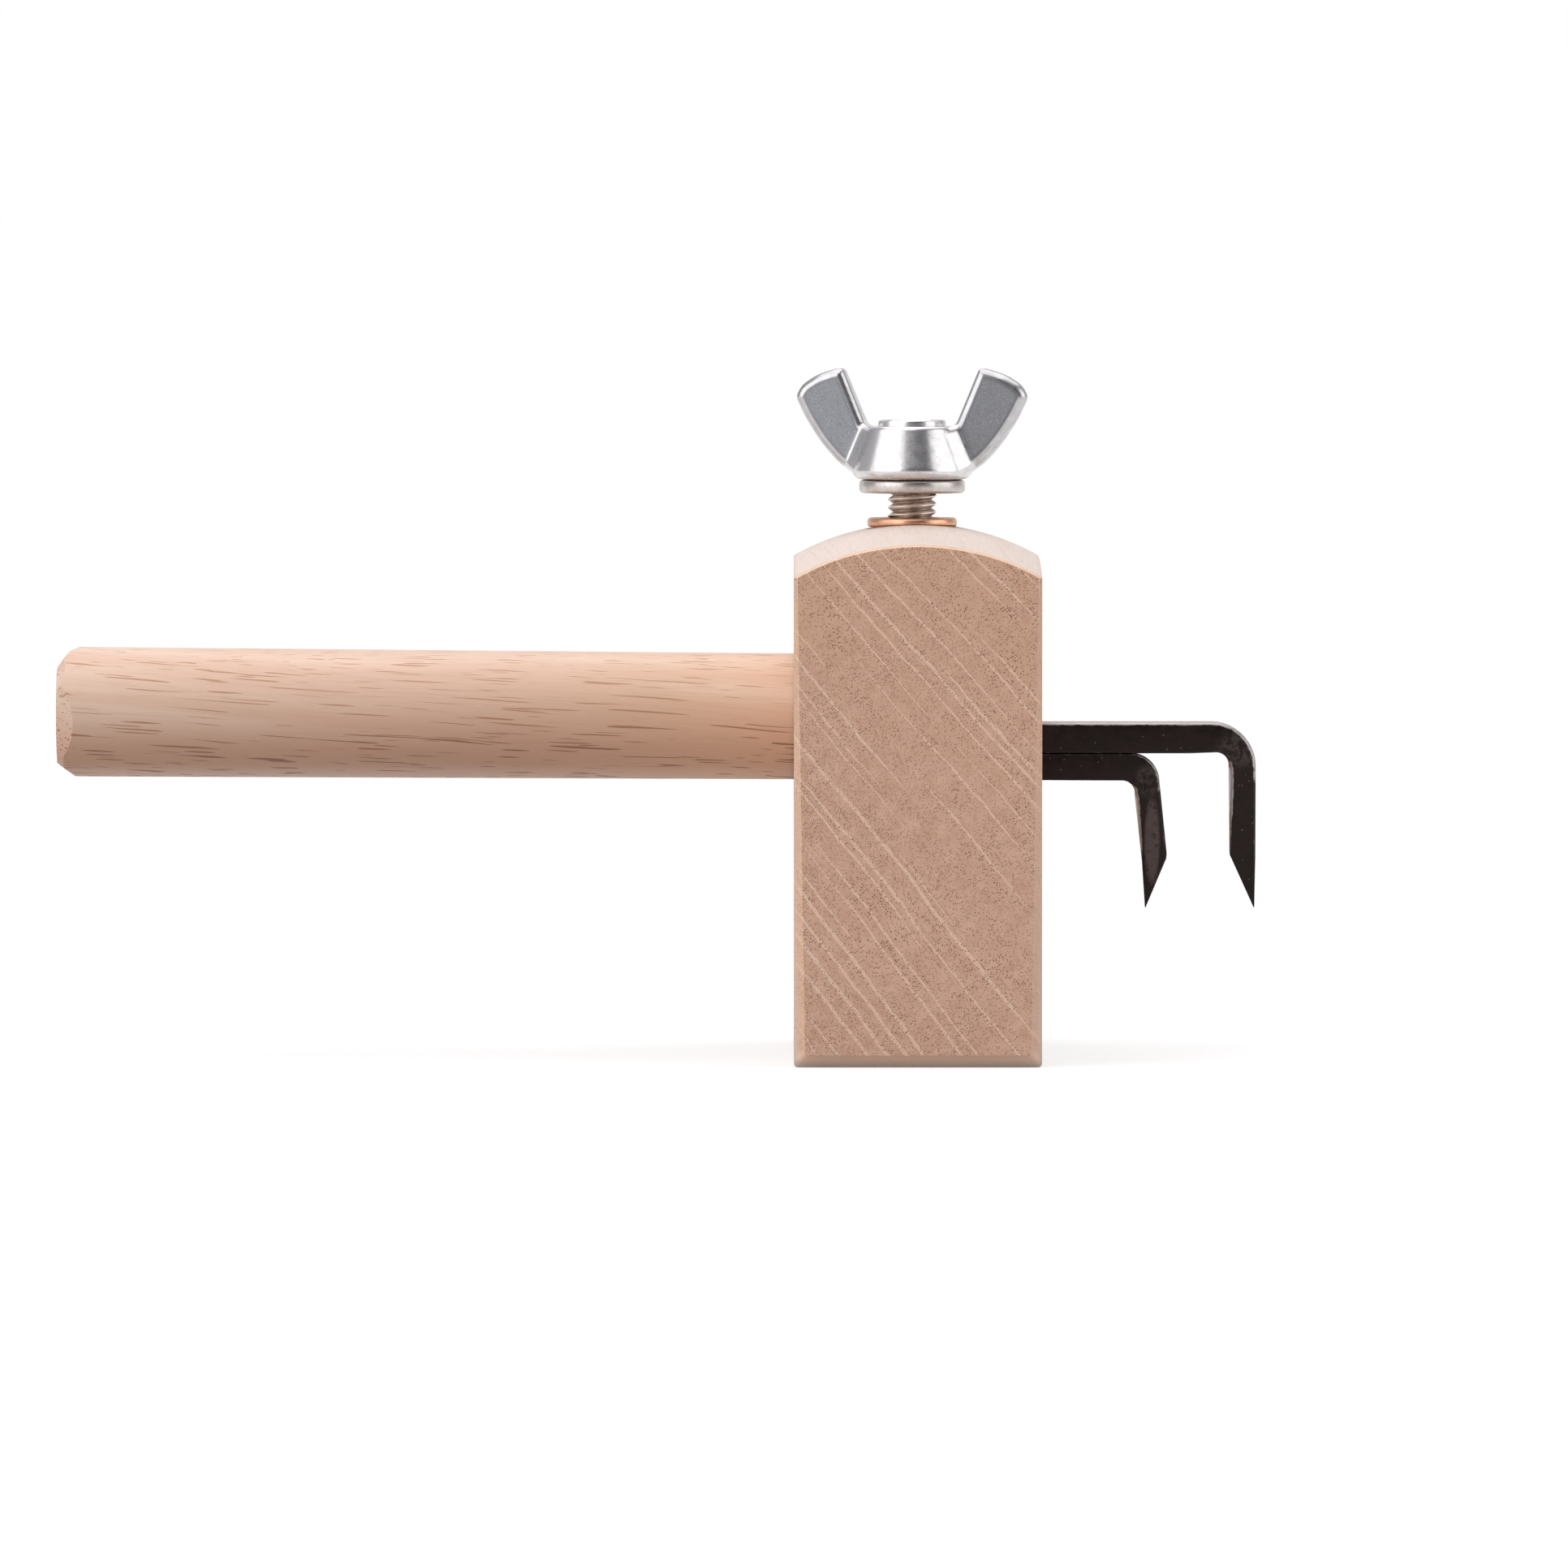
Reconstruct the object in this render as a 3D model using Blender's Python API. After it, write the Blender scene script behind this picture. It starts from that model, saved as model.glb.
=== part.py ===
"""Two-blade marking gauge: a crowned wooden fence block on a round handle, two L-shaped steel
blades that slide in it one above the other, and a wing screw on top that clamps them.

Metres, +Z up. The origin is the centre of the block's flat foot. The block stands with its
end grain towards -Y, the handle runs to -X and the blades reach to +X.
"""

import math

import bmesh
import bpy
import numpy as np
from mathutils import Vector

MM = 0.001

# Clearance between pieces that touch or slide on the real tool.
FIT = 0.3 * MM

# Fence block: a 30 x 75 mm foot, its top arched across X and crowned along Y.
BLOCK_WIDTH = 30.0 * MM
BLOCK_LENGTH = 75.0 * MM
BLOCK_SHOULDER_Z = 59.2 * MM
ARCH_RISE = 3.9 * MM
CROWN_RISE = 1.9 * MM
FOOT_CHAMFER = 1.4 * MM
CORNER_CHAMFER = 0.9 * MM
SHOULDER_CHAMFER = 0.5 * MM

# Round handle: its tenon sits in a socket in the block, and its axis rises a little outwards.
# SOCKET_WALL is the wood left between the socket and the bore for the clamp.
HANDLE_REACH = 90.3 * MM
SOCKET_WALL = 1.5 * MM
HANDLE_RADIUS_AT_BLOCK = 7.93 * MM
HANDLE_RADIUS_AT_END = 8.16 * MM
HANDLE_AXIS_Z = 41.2 * MM
HANDLE_RISE = 0.6 * MM
HANDLE_END_CHAMFER = 2.9 * MM
# The free end's last rings: how much of the chamfer is left to go, and the share of full radius.
HANDLE_END_RINGS = ((0.35, 0.86), (0.0, 0.62))

# Blades: both shafts are as deep as BLADE_WIDTH along Y, the outer one lies on the inner one.
BLADE_WIDTH = 5.0 * MM
BLADE_EDGE_CHAMFER = 0.4 * MM
SHAFT_BOTTOM_Z = 33.6 * MM
INNER_SHAFT_HEIGHT = 3.15 * MM
OUTER_SHAFT_HEIGHT = 3.7 * MM
TIP_Z = 18.0 * MM
TIP_WIDTH = 2.2 * MM
BEVEL_HEIGHT = 6.3 * MM
INNER_LEG_X = 29.8 * MM
INNER_LEG_THICKNESS = 3.0 * MM
INNER_LEG_LEAN = 1.0 * MM
INNER_BEND_RADIUS = 3.4 * MM
INNER_TAIL_X = -78.0 * MM
INNER_TAIL_TAPER = 0.6 * MM
OUTER_LEG_X = 41.6 * MM
OUTER_LEG_THICKNESS = 3.3 * MM
OUTER_BEND_RADIUS = 5.4 * MM
OUTER_TAIL_X = -72.0 * MM
HEEL_RADIUS = 1.6 * MM

# Clamp: M6 screw through a flanged bush, pressing a loose steel pad onto the outer shaft.
SCREW_X = -0.5 * MM
SCREW_RADIUS = 3.0 * MM
THREAD_PITCH = 1.0 * MM
THREAD_DEPTH = 0.6 * MM
# Where the thread's flat crest starts and ends, as shares of the pitch.
THREAD_CREST = (0.42, 0.58)
PAD_HEIGHT = 2.5 * MM
PAD_CHAMFER = 0.4 * MM
PAD_DISH_DEPTH = 0.5 * MM
BUSH_FLANGE_RADIUS = 5.5 * MM
BUSH_FLANGE_HEIGHT = 1.2 * MM
BUSH_FLANGE_SUNK = 0.4 * MM
BUSH_BARREL_RADIUS = 4.4 * MM
BUSH_BARREL_LENGTH = 12.0 * MM
BUSH_CHAMFER = 0.4 * MM
BARE_THREAD = 2.95 * MM
WASHER_RADIUS = 6.5 * MM
WASHER_HEIGHT = 1.55 * MM
WASHER_CHAMFER = 0.4 * MM

# Wing head: a conical boss with a lip on top and two upright wings, turned a little about Z.
BOSS_HEIGHT = 6.4 * MM
BOSS_FOOT_RADIUS = 7.1 * MM
BOSS_TOP_RADIUS = 5.5 * MM
BOSS_ROUNDING = 0.7 * MM
LIP_RADIUS = 4.15 * MM
LIP_HEIGHT = 0.75 * MM
WING_SPAN = 29.0 * MM
WING_HEIGHT = 13.5 * MM
WING_THICKNESS = 2.6 * MM
WING_ROUNDING = 0.5 * MM
WING_YAW = math.radians(-12.0)

# How finely round shapes are divided.
TURN_STEPS = 40
THREAD_STEPS = 18
ARCH_STEPS = 14
CROWN_STEPS = 10
BEND_STEPS = 6
SMOOTH_ANGLE = math.radians(32.0)

# How far cutters run past what they cut, and how near a corner has to be to count as in place.
CUT_OVERRUN = 2.0 * MM
NEAR = 0.04 * MM

# Places that follow from the sizes above.
HALF_WIDTH = BLOCK_WIDTH / 2
HALF_LENGTH = BLOCK_LENGTH / 2
BLOCK_TOP_Z = BLOCK_SHOULDER_Z + ARCH_RISE + CROWN_RISE
HANDLE_END_X = -HALF_WIDTH - HANDLE_REACH
TENON_END_X = SCREW_X - BUSH_BARREL_RADIUS - 2 * FIT - SOCKET_WALL
TENON_LENGTH = TENON_END_X + HALF_WIDTH
SLOT_HALF_WIDTH = BLADE_WIDTH / 2 + FIT
SLOT_FLOOR_Z = SHAFT_BOTTOM_Z - FIT
INNER_SHAFT_TOP_Z = SHAFT_BOTTOM_Z + INNER_SHAFT_HEIGHT
OUTER_SHAFT_BOTTOM_Z = INNER_SHAFT_TOP_Z + FIT
OUTER_SHAFT_TOP_Z = OUTER_SHAFT_BOTTOM_Z + OUTER_SHAFT_HEIGHT
SLOT_ROOF_Z = OUTER_SHAFT_TOP_Z + FIT
PAD_TOP_Z = SLOT_ROOF_Z + PAD_HEIGHT
SCREW_TIP_Z = PAD_TOP_Z + FIT
BUSH_FLANGE_BOTTOM_Z = BLOCK_TOP_Z - BUSH_FLANGE_SUNK
BUSH_TOP_Z = BUSH_FLANGE_BOTTOM_Z + BUSH_FLANGE_HEIGHT
BUSH_BOTTOM_Z = BUSH_FLANGE_BOTTOM_Z - BUSH_BARREL_LENGTH
WASHER_BOTTOM_Z = BUSH_TOP_Z + BARE_THREAD
WASHER_TOP_Z = WASHER_BOTTOM_Z + WASHER_HEIGHT
BOSS_BOTTOM_Z = WASHER_TOP_Z + FIT
BOSS_TOP_Z = BOSS_BOTTOM_Z + BOSS_HEIGHT
SCREW_TOP_Z = BOSS_TOP_Z - FIT
SCREW_BORE_RADIUS = SCREW_RADIUS + FIT


def clear_scene():
    for thing in list(bpy.data.objects):
        bpy.data.objects.remove(thing, do_unlink=True)


def finish(name, colour, roughness, metallic):
    """A Principled material with one colour."""
    made = bpy.data.materials.new(name)
    made.use_nodes = True
    shader = made.node_tree.nodes["Principled BSDF"]
    shader.inputs["Base Color"].default_value = (*colour, 1.0)
    shader.inputs["Roughness"].default_value = roughness
    shader.inputs["Metallic"].default_value = metallic
    return made


def new_object(name, bm, material=None, location=(0, 0, 0)):
    """Puts a bmesh in the scene as an object, with every face turned outwards."""
    bmesh.ops.recalc_face_normals(bm, faces=bm.faces)
    mesh = bpy.data.meshes.new(name)
    bm.to_mesh(mesh)
    bm.free()
    made = bpy.data.objects.new(name, mesh)
    bpy.context.scene.collection.objects.link(made)
    made.location = location
    if material:
        mesh.materials.append(material)
    return made


def smooth(thing):
    thing.data.shade_smooth()
    thing.data.set_sharp_from_angle(angle=SMOOTH_ANGLE)


def as_cutter(thing):
    thing.hide_render = True
    thing.display_type = "WIRE"
    return thing


def combine(body, other, operation):
    """Keeps a Boolean modifier on body, worked out with the other object."""
    modifier = body.modifiers.new(f"{operation.lower()} {other.name}", "BOOLEAN")
    modifier.operation = operation
    modifier.solver = "EXACT"
    modifier.object = as_cutter(other)


def turned(name, profile, material=None, location=(0, 0, 0)):
    """Spins a profile of (radius, z) points about Z. It starts and ends on the axis, or is a ring."""
    bm = bmesh.new()
    corners = [bm.verts.new((radius, 0, z)) for radius, z in profile]
    edges = [bm.edges.new(pair) for pair in zip(corners, corners[1:])]
    if profile[0][0] > 0:
        edges.append(bm.edges.new((corners[-1], corners[0])))
    bmesh.ops.spin(
        bm, geom=corners + edges, cent=(0, 0, 0), axis=(0, 0, 1), dvec=(0, 0, 0),
        angle=math.tau, steps=TURN_STEPS, use_merge=True, use_normal_flip=False, use_duplicate=False,
    )
    bmesh.ops.remove_doubles(bm, verts=bm.verts, dist=0.001 * MM)
    made = new_object(name, bm, material, location)
    smooth(made)
    return made


def box(name, low, high):
    bm = bmesh.new()
    bmesh.ops.create_cube(bm, size=1.0)
    size = Vector(high) - Vector(low)
    bmesh.ops.scale(bm, vec=size, verts=bm.verts)
    bmesh.ops.translate(bm, vec=Vector(low) + size / 2, verts=bm.verts)
    return new_object(name, bm)


def extruded(outline, half_depth):
    """A bmesh slab: an outline of (x, z) points from y = -half_depth to +half_depth."""
    bm = bmesh.new()
    face = bm.faces.new([bm.verts.new((x, -half_depth, z)) for x, z in outline])
    grown = bmesh.ops.extrude_face_region(bm, geom=[face])
    moved = [item for item in grown["geom"] if isinstance(item, bmesh.types.BMVert)]
    bmesh.ops.translate(bm, vec=(0, 2 * half_depth, 0), verts=moved)
    return bm


def arc(centre, radius, start, end, steps):
    """Points on a circle in the XZ plane, with angles from +X towards +Z."""
    angles = np.linspace(start, end, steps + 1)
    return [(centre[0] + radius * math.cos(a), centre[1] + radius * math.sin(a)) for a in angles]


def block_section(crown):
    """The block's outline across X: flat foot, upright sides and an arched top raised by crown."""
    radius = (HALF_WIDTH**2 + ARCH_RISE**2) / (2 * ARCH_RISE)
    lean = math.asin(HALF_WIDTH / radius)
    centre = (0, BLOCK_SHOULDER_Z + crown + ARCH_RISE - radius)
    top = arc(centre, radius, math.pi / 2 - lean, math.pi / 2 + lean, ARCH_STEPS)
    return [(-HALF_WIDTH, 0), (HALF_WIDTH, 0)] + top


def make_fence_block(wood):
    """The crowned block with its edges chamfered, then the ways through it: the handle's socket,
    the mortise for the blades and the stepped bore for the bush."""
    bm = bmesh.new()
    loops = []
    for y in np.linspace(-HALF_LENGTH, HALF_LENGTH, CROWN_STEPS + 1):
        crown = CROWN_RISE * (1 - (y / HALF_LENGTH) ** 2)
        loops.append([bm.verts.new((x, y, z)) for x, z in block_section(crown)])
    for near, far in zip(loops, loops[1:]):
        for i in range(len(near)):
            j = (i + 1) % len(near)
            bm.faces.new((near[i], near[j], far[j], far[i]))
    bm.faces.new(loops[0])
    bm.faces.new(loops[-1])
    bmesh.ops.recalc_face_normals(bm, faces=bm.faces)

    def edges_where(test):
        return [edge for edge in bm.edges if all(test(v.co) for v in edge.verts)]

    def bevel(edges, width):
        bmesh.ops.bevel(bm, geom=edges, offset=width, segments=1, affect="EDGES", profile=0.5)

    shoulders = [
        edge
        for side in (-HALF_WIDTH, HALF_WIDTH)
        for edge in edges_where(lambda co: abs(co.x - side) < NEAR and co.z > BLOCK_SHOULDER_Z - NEAR)
    ]
    bevel(shoulders, SHOULDER_CHAMFER)
    corners = [
        edge
        for end in (-HALF_LENGTH, HALF_LENGTH)
        for edge in edges_where(lambda co: abs(co.y - end) < NEAR and abs(co.x) > HALF_WIDTH - NEAR)
    ]
    bevel(corners, CORNER_CHAMFER)
    foot = [
        edge
        for edge in edges_where(lambda co: abs(co.z) < NEAR)
        if any(abs(face.normal.z) < 0.5 for face in edge.link_faces)
    ]
    bevel(foot, FOOT_CHAMFER)
    block = new_object("fence_block", bm, wood)
    socket = turned(
        "socket_cutter",
        [(0, -CUT_OVERRUN), (HANDLE_RADIUS_AT_BLOCK + FIT, -CUT_OVERRUN),
         (HANDLE_RADIUS_AT_BLOCK + FIT, TENON_LENGTH + FIT), (0, TENON_LENGTH + FIT)],
        location=(-HALF_WIDTH, 0, HANDLE_AXIS_Z),
    )
    socket.rotation_euler = (0, math.pi / 2, 0)
    combine(block, socket, "DIFFERENCE")
    mortise = box(
        "mortise_cutter",
        (TENON_END_X - FIT, -SLOT_HALF_WIDTH, SLOT_FLOOR_Z),
        (HALF_WIDTH + CUT_OVERRUN, SLOT_HALF_WIDTH, SLOT_ROOF_Z),
    )
    combine(block, mortise, "DIFFERENCE")
    bore_radius = BUSH_BARREL_RADIUS + FIT
    bore = turned(
        "bush_cutter",
        [(0, SLOT_ROOF_Z - FIT), (bore_radius, SLOT_ROOF_Z - FIT), (bore_radius, BUSH_FLANGE_BOTTOM_Z - FIT),
         (BUSH_FLANGE_RADIUS + FIT, BUSH_FLANGE_BOTTOM_Z - FIT),
         (BUSH_FLANGE_RADIUS + FIT, BLOCK_TOP_Z + CUT_OVERRUN), (0, BLOCK_TOP_Z + CUT_OVERRUN)],
        location=(SCREW_X, 0, 0),
    )
    combine(block, bore, "DIFFERENCE")


def make_handle(wood):
    """A round rod from the tenon's end to the chamfered free end, grooved along its underside."""
    bm = bmesh.new()
    length = HANDLE_REACH + TENON_LENGTH
    growth = (HANDLE_RADIUS_AT_END - HANDLE_RADIUS_AT_BLOCK) / HANDLE_REACH
    slope = HANDLE_RISE / HANDLE_REACH
    stations = [(0, 1.0), (TENON_LENGTH, 1.0), (length - HANDLE_END_CHAMFER, 1.0)]
    stations += [(length - left * HANDLE_END_CHAMFER, share) for left, share in HANDLE_END_RINGS]
    rings = []
    for run, share in stations:
        out = run - TENON_LENGTH
        radius = share * (HANDLE_RADIUS_AT_BLOCK + growth * out)
        height = HANDLE_AXIS_Z + slope * out
        rings.append([
            bm.verts.new((TENON_END_X - run, radius * math.sin(a), height + radius * math.cos(a)))
            for a in np.arange(TURN_STEPS) * math.tau / TURN_STEPS
        ])
    for near, far in zip(rings, rings[1:]):
        for i in range(TURN_STEPS):
            j = (i + 1) % TURN_STEPS
            bm.faces.new((near[i], near[j], far[j], far[i]))
    bm.faces.new(rings[0])
    bm.faces.new(rings[-1])
    handle = new_object("handle", bm, wood)
    smooth(handle)
    groove = box(
        "groove_cutter",
        (HANDLE_END_X - CUT_OVERRUN, -SLOT_HALF_WIDTH, HANDLE_AXIS_Z - 2 * HANDLE_RADIUS_AT_END),
        (TENON_END_X + CUT_OVERRUN, SLOT_HALF_WIDTH, SLOT_ROOF_Z),
    )
    combine(handle, groove, "DIFFERENCE")


def make_blade(name, steel, tail_x, bottom_z, height, leg_x, leg_thickness, lean, bend, tail_taper, bevel_inside):
    """An L of flat bar in the XZ plane. The leg hangs down at leg_x and ends in a one-sided bevel:
    on its +X side, or on the side towards the block where bevel_inside is true. The leg narrows
    along Y to TIP_WIDTH."""
    top_z = bottom_z + height
    inner_x = leg_x - leg_thickness
    heel = (inner_x - HEEL_RADIUS, bottom_z - HEEL_RADIUS)
    bevel_z = TIP_Z + BEVEL_HEIGHT
    drop = (top_z - bend - bevel_z) / (top_z - bend - TIP_Z)
    outline = [(tail_x, top_z), (leg_x - bend, top_z)]
    outline += arc((leg_x - bend, top_z - bend), bend, math.pi / 2, 0, BEND_STEPS)[1:]
    if bevel_inside:
        outline += [(leg_x, TIP_Z), (inner_x, bevel_z)]
    else:
        outline += [(leg_x + lean * drop, bevel_z), (inner_x + lean, TIP_Z)]
    outline += arc(heel, HEEL_RADIUS, 0, math.pi / 2, BEND_STEPS)
    outline += [(inner_x - 3 * HEEL_RADIUS, bottom_z), (tail_x, bottom_z + tail_taper)]
    bm = extruded(outline, BLADE_WIDTH / 2)
    rim = [
        edge
        for edge in bm.edges
        if abs(edge.verts[0].co.y - edge.verts[1].co.y) < FIT
        and min(v.co.z for v in edge.verts) > bevel_z - FIT
    ]
    bmesh.ops.bevel(bm, geom=rim, offset=BLADE_EDGE_CHAMFER, segments=1, affect="EDGES", profile=0.5)
    leg_top_z = top_z - bend
    for vertex in bm.verts:
        down = min(1.0, max(0.0, (leg_top_z - vertex.co.z) / (leg_top_z - TIP_Z)))
        if vertex.co.x > inner_x - FIT:
            vertex.co.y *= 1 + down * (TIP_WIDTH / BLADE_WIDTH - 1)
    new_object(name, bm, steel)


def make_pressure_pad(steel):
    """A loose disc between the screw's end and the outer shaft, dished on top for the screw."""
    radius = BUSH_BARREL_RADIUS
    profile = [
        (0, SLOT_ROOF_Z), (radius - PAD_CHAMFER, SLOT_ROOF_Z), (radius, SLOT_ROOF_Z + PAD_CHAMFER),
        (radius, PAD_TOP_Z - PAD_CHAMFER), (radius - PAD_CHAMFER, PAD_TOP_Z),
        (SCREW_RADIUS - PAD_CHAMFER, PAD_TOP_Z), (0, PAD_TOP_Z - PAD_DISH_DEPTH),
    ]
    turned("pressure_pad", profile, steel, (SCREW_X, 0, 0))


def make_screw_bush(copper):
    """A flanged bush let into the crown of the block; its barrel holds the screw."""
    rim = BUSH_FLANGE_RADIUS - BUSH_CHAMFER
    profile = [
        (SCREW_BORE_RADIUS, BUSH_BOTTOM_Z), (BUSH_BARREL_RADIUS, BUSH_BOTTOM_Z),
        (BUSH_BARREL_RADIUS, BUSH_FLANGE_BOTTOM_Z), (rim, BUSH_FLANGE_BOTTOM_Z),
        (BUSH_FLANGE_RADIUS, BUSH_FLANGE_BOTTOM_Z + BUSH_CHAMFER),
        (BUSH_FLANGE_RADIUS, BUSH_TOP_Z - BUSH_CHAMFER), (rim, BUSH_TOP_Z), (SCREW_BORE_RADIUS, BUSH_TOP_Z),
    ]
    turned("screw_bush", profile, copper, (SCREW_X, 0, 0))


def make_clamp_screw(steel):
    """A right-hand thread as one band wound on itself: each of its points is a place on the
    profile of one pitch, and the band's two ends are closed to a point on the axis."""
    root = SCREW_RADIUS - THREAD_DEPTH
    profile = [(root, 0.0)] + [(SCREW_RADIUS, share) for share in THREAD_CREST]
    turns = int((SCREW_TOP_Z - SCREW_TIP_Z) / THREAD_PITCH) - 1
    start_z = SCREW_TOP_Z - (turns + 1) * THREAD_PITCH
    bm = bmesh.new()
    rows = []
    for i in range(turns * THREAD_STEPS + 1):
        angle = math.tau * i / THREAD_STEPS
        rows.append([
            bm.verts.new((
                radius * math.cos(angle), radius * math.sin(angle),
                start_z + THREAD_PITCH * (i / THREAD_STEPS + share),
            ))
            for radius, share in profile
        ])
    last_turn = [
        bm.verts.new((
            root * math.cos(math.tau * i / THREAD_STEPS), root * math.sin(math.tau * i / THREAD_STEPS),
            start_z + THREAD_PITCH * (turns + i / THREAD_STEPS),
        ))
        for i in range(1, THREAD_STEPS + 1)
    ]
    lower = [row[0] for row in rows] + last_turn
    for i in range(turns * THREAD_STEPS):
        above, above_next = lower[i + THREAD_STEPS], lower[i + THREAD_STEPS + 1]
        here = rows[i] + [above]
        there = rows[i + 1] + [above_next]
        for a, b, c, d in zip(here, there, there[1:], here[1:]):
            bm.faces.new((a, b, c, d))
    foot = bm.verts.new((0, 0, SCREW_TIP_Z))
    crown = bm.verts.new((0, 0, SCREW_TOP_Z))
    bottom_loop = lower[:THREAD_STEPS + 1] + rows[0][:0:-1]
    top_loop = lower[turns * THREAD_STEPS:] + rows[-1][:0:-1]
    for loop, point in ((bottom_loop, foot), (top_loop, crown)):
        for a, b in zip(loop, loop[1:] + loop[:1]):
            bm.faces.new((a, b, point))
    screw = new_object("clamp_screw", bm, steel, (SCREW_X, 0, 0))
    smooth(screw)


def make_wing_washer(steel):
    rim = WASHER_RADIUS - WASHER_CHAMFER
    profile = [
        (SCREW_BORE_RADIUS, WASHER_BOTTOM_Z), (rim, WASHER_BOTTOM_Z),
        (WASHER_RADIUS, WASHER_BOTTOM_Z + WASHER_CHAMFER), (WASHER_RADIUS, WASHER_TOP_Z - WASHER_CHAMFER),
        (rim, WASHER_TOP_Z), (SCREW_BORE_RADIUS, WASHER_TOP_Z),
    ]
    turned("wing_washer", profile, steel, (SCREW_X, 0, 0))


def wing_outline(side):
    """One wing seen square on, as (x, z) from the boss's foot: a paddle that leans outwards from
    inside the boss. Its shares were read from the tool's own wing."""
    reach = WING_SPAN / 2
    shares = [
        (0.25, 0.06), (0.50, 0.03), (0.62, 0.15), (0.78, 0.33), (0.92, 0.56), (1.00, 0.73), (0.995, 0.79),
        (0.94, 0.865), (0.81, 0.95), (0.66, 0.995), (0.60, 1.00), (0.575, 0.965), (0.385, 0.50), (0.25, 0.42),
    ]
    return [(side * reach * out, BOSS_BOTTOM_Z + WING_HEIGHT * up) for out, up in shares]


def make_wing_head(plate):
    """The turned boss with its lip, a wing joined on at each side, and the screw's way kept clear."""
    bore = SCREW_BORE_RADIUS
    profile = [
        (bore, BOSS_BOTTOM_Z), (BOSS_FOOT_RADIUS - BOSS_ROUNDING, BOSS_BOTTOM_Z),
        (BOSS_FOOT_RADIUS, BOSS_BOTTOM_Z + BOSS_ROUNDING), (BOSS_TOP_RADIUS, BOSS_TOP_Z),
        (LIP_RADIUS, BOSS_TOP_Z), (LIP_RADIUS, BOSS_TOP_Z + LIP_HEIGHT), (bore, BOSS_TOP_Z + LIP_HEIGHT),
    ]
    head = turned("wing_head", profile, plate, (SCREW_X, 0, 0))
    head.rotation_euler = (0, 0, WING_YAW)
    for side, name in ((-1, "left_wing"), (1, "right_wing")):
        bm = extruded(wing_outline(side), WING_THICKNESS / 2)
        rims = [edge for edge in bm.edges if abs(edge.verts[0].co.y - edge.verts[1].co.y) < FIT]
        bmesh.ops.bevel(bm, geom=rims, offset=WING_ROUNDING, segments=2, affect="EDGES", profile=0.5)
        wing = new_object(name, bm, plate, (SCREW_X, 0, 0))
        wing.rotation_euler = (0, 0, WING_YAW)
        combine(head, wing, "UNION")
    clear_way = turned(
        "way_cutter",
        [(0, BOSS_BOTTOM_Z - CUT_OVERRUN), (bore, BOSS_BOTTOM_Z - CUT_OVERRUN),
         (bore, BOSS_TOP_Z + WING_HEIGHT), (0, BOSS_TOP_Z + WING_HEIGHT)],
        location=(SCREW_X, 0, 0),
    )
    combine(head, clear_way, "DIFFERENCE")


clear_scene()
block_wood = finish("block wood", (0.54, 0.33, 0.22), 0.6, 0.0)
handle_wood = finish("handle wood", (0.72, 0.52, 0.38), 0.55, 0.0)
forged_steel = finish("forged steel", (0.015, 0.012, 0.011), 0.45, 0.6)
bright_plate = finish("bright plate", (0.62, 0.62, 0.64), 0.25, 1.0)
thread_steel = finish("thread steel", (0.30, 0.27, 0.24), 0.35, 1.0)
bush_copper = finish("bush copper", (0.80, 0.45, 0.25), 0.3, 1.0)

make_fence_block(block_wood)
make_handle(handle_wood)
make_blade(
    "inner_blade", forged_steel, INNER_TAIL_X, SHAFT_BOTTOM_Z, INNER_SHAFT_HEIGHT, INNER_LEG_X,
    INNER_LEG_THICKNESS, INNER_LEG_LEAN, INNER_BEND_RADIUS, INNER_TAIL_TAPER, False,
)
make_blade(
    "outer_blade", forged_steel, OUTER_TAIL_X, OUTER_SHAFT_BOTTOM_Z, OUTER_SHAFT_HEIGHT, OUTER_LEG_X,
    OUTER_LEG_THICKNESS, 0.0, OUTER_BEND_RADIUS, 0.0, True,
)
make_pressure_pad(thread_steel)
make_screw_bush(bush_copper)
make_clamp_screw(thread_steel)
make_wing_washer(bright_plate)
make_wing_head(bright_plate)
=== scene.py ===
import math

import bmesh
import bpy
import numpy as np
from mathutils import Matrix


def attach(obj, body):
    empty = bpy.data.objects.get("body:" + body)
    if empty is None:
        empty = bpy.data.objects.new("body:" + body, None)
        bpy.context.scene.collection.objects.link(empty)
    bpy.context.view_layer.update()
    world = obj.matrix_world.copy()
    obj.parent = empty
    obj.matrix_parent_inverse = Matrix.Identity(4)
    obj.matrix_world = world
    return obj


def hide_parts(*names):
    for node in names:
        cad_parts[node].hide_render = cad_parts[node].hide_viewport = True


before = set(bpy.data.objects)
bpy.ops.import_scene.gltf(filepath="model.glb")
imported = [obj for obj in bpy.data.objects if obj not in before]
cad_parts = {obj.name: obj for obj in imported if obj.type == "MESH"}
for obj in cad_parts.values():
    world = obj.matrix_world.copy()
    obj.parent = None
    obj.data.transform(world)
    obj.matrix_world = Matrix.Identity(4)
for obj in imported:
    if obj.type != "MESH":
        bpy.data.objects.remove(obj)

for left_over in ("Cube", "Light", "Camera"):
    if left_over in bpy.data.objects:
        bpy.data.objects.remove(bpy.data.objects[left_over])
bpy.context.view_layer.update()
mm = 0.001


# ------------------------------------------------------------------------------------------------
# Fence block: one piece of pale oak, planed flat on four sides, its top arched across and crowned
# along its length. The handle's socket, the blades' mortise and the bush's stepped hole are bored
# in it. It is cut across the grain, so the end towards the viewer shows rays and open pores.
# ------------------------------------------------------------------------------------------------

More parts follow.
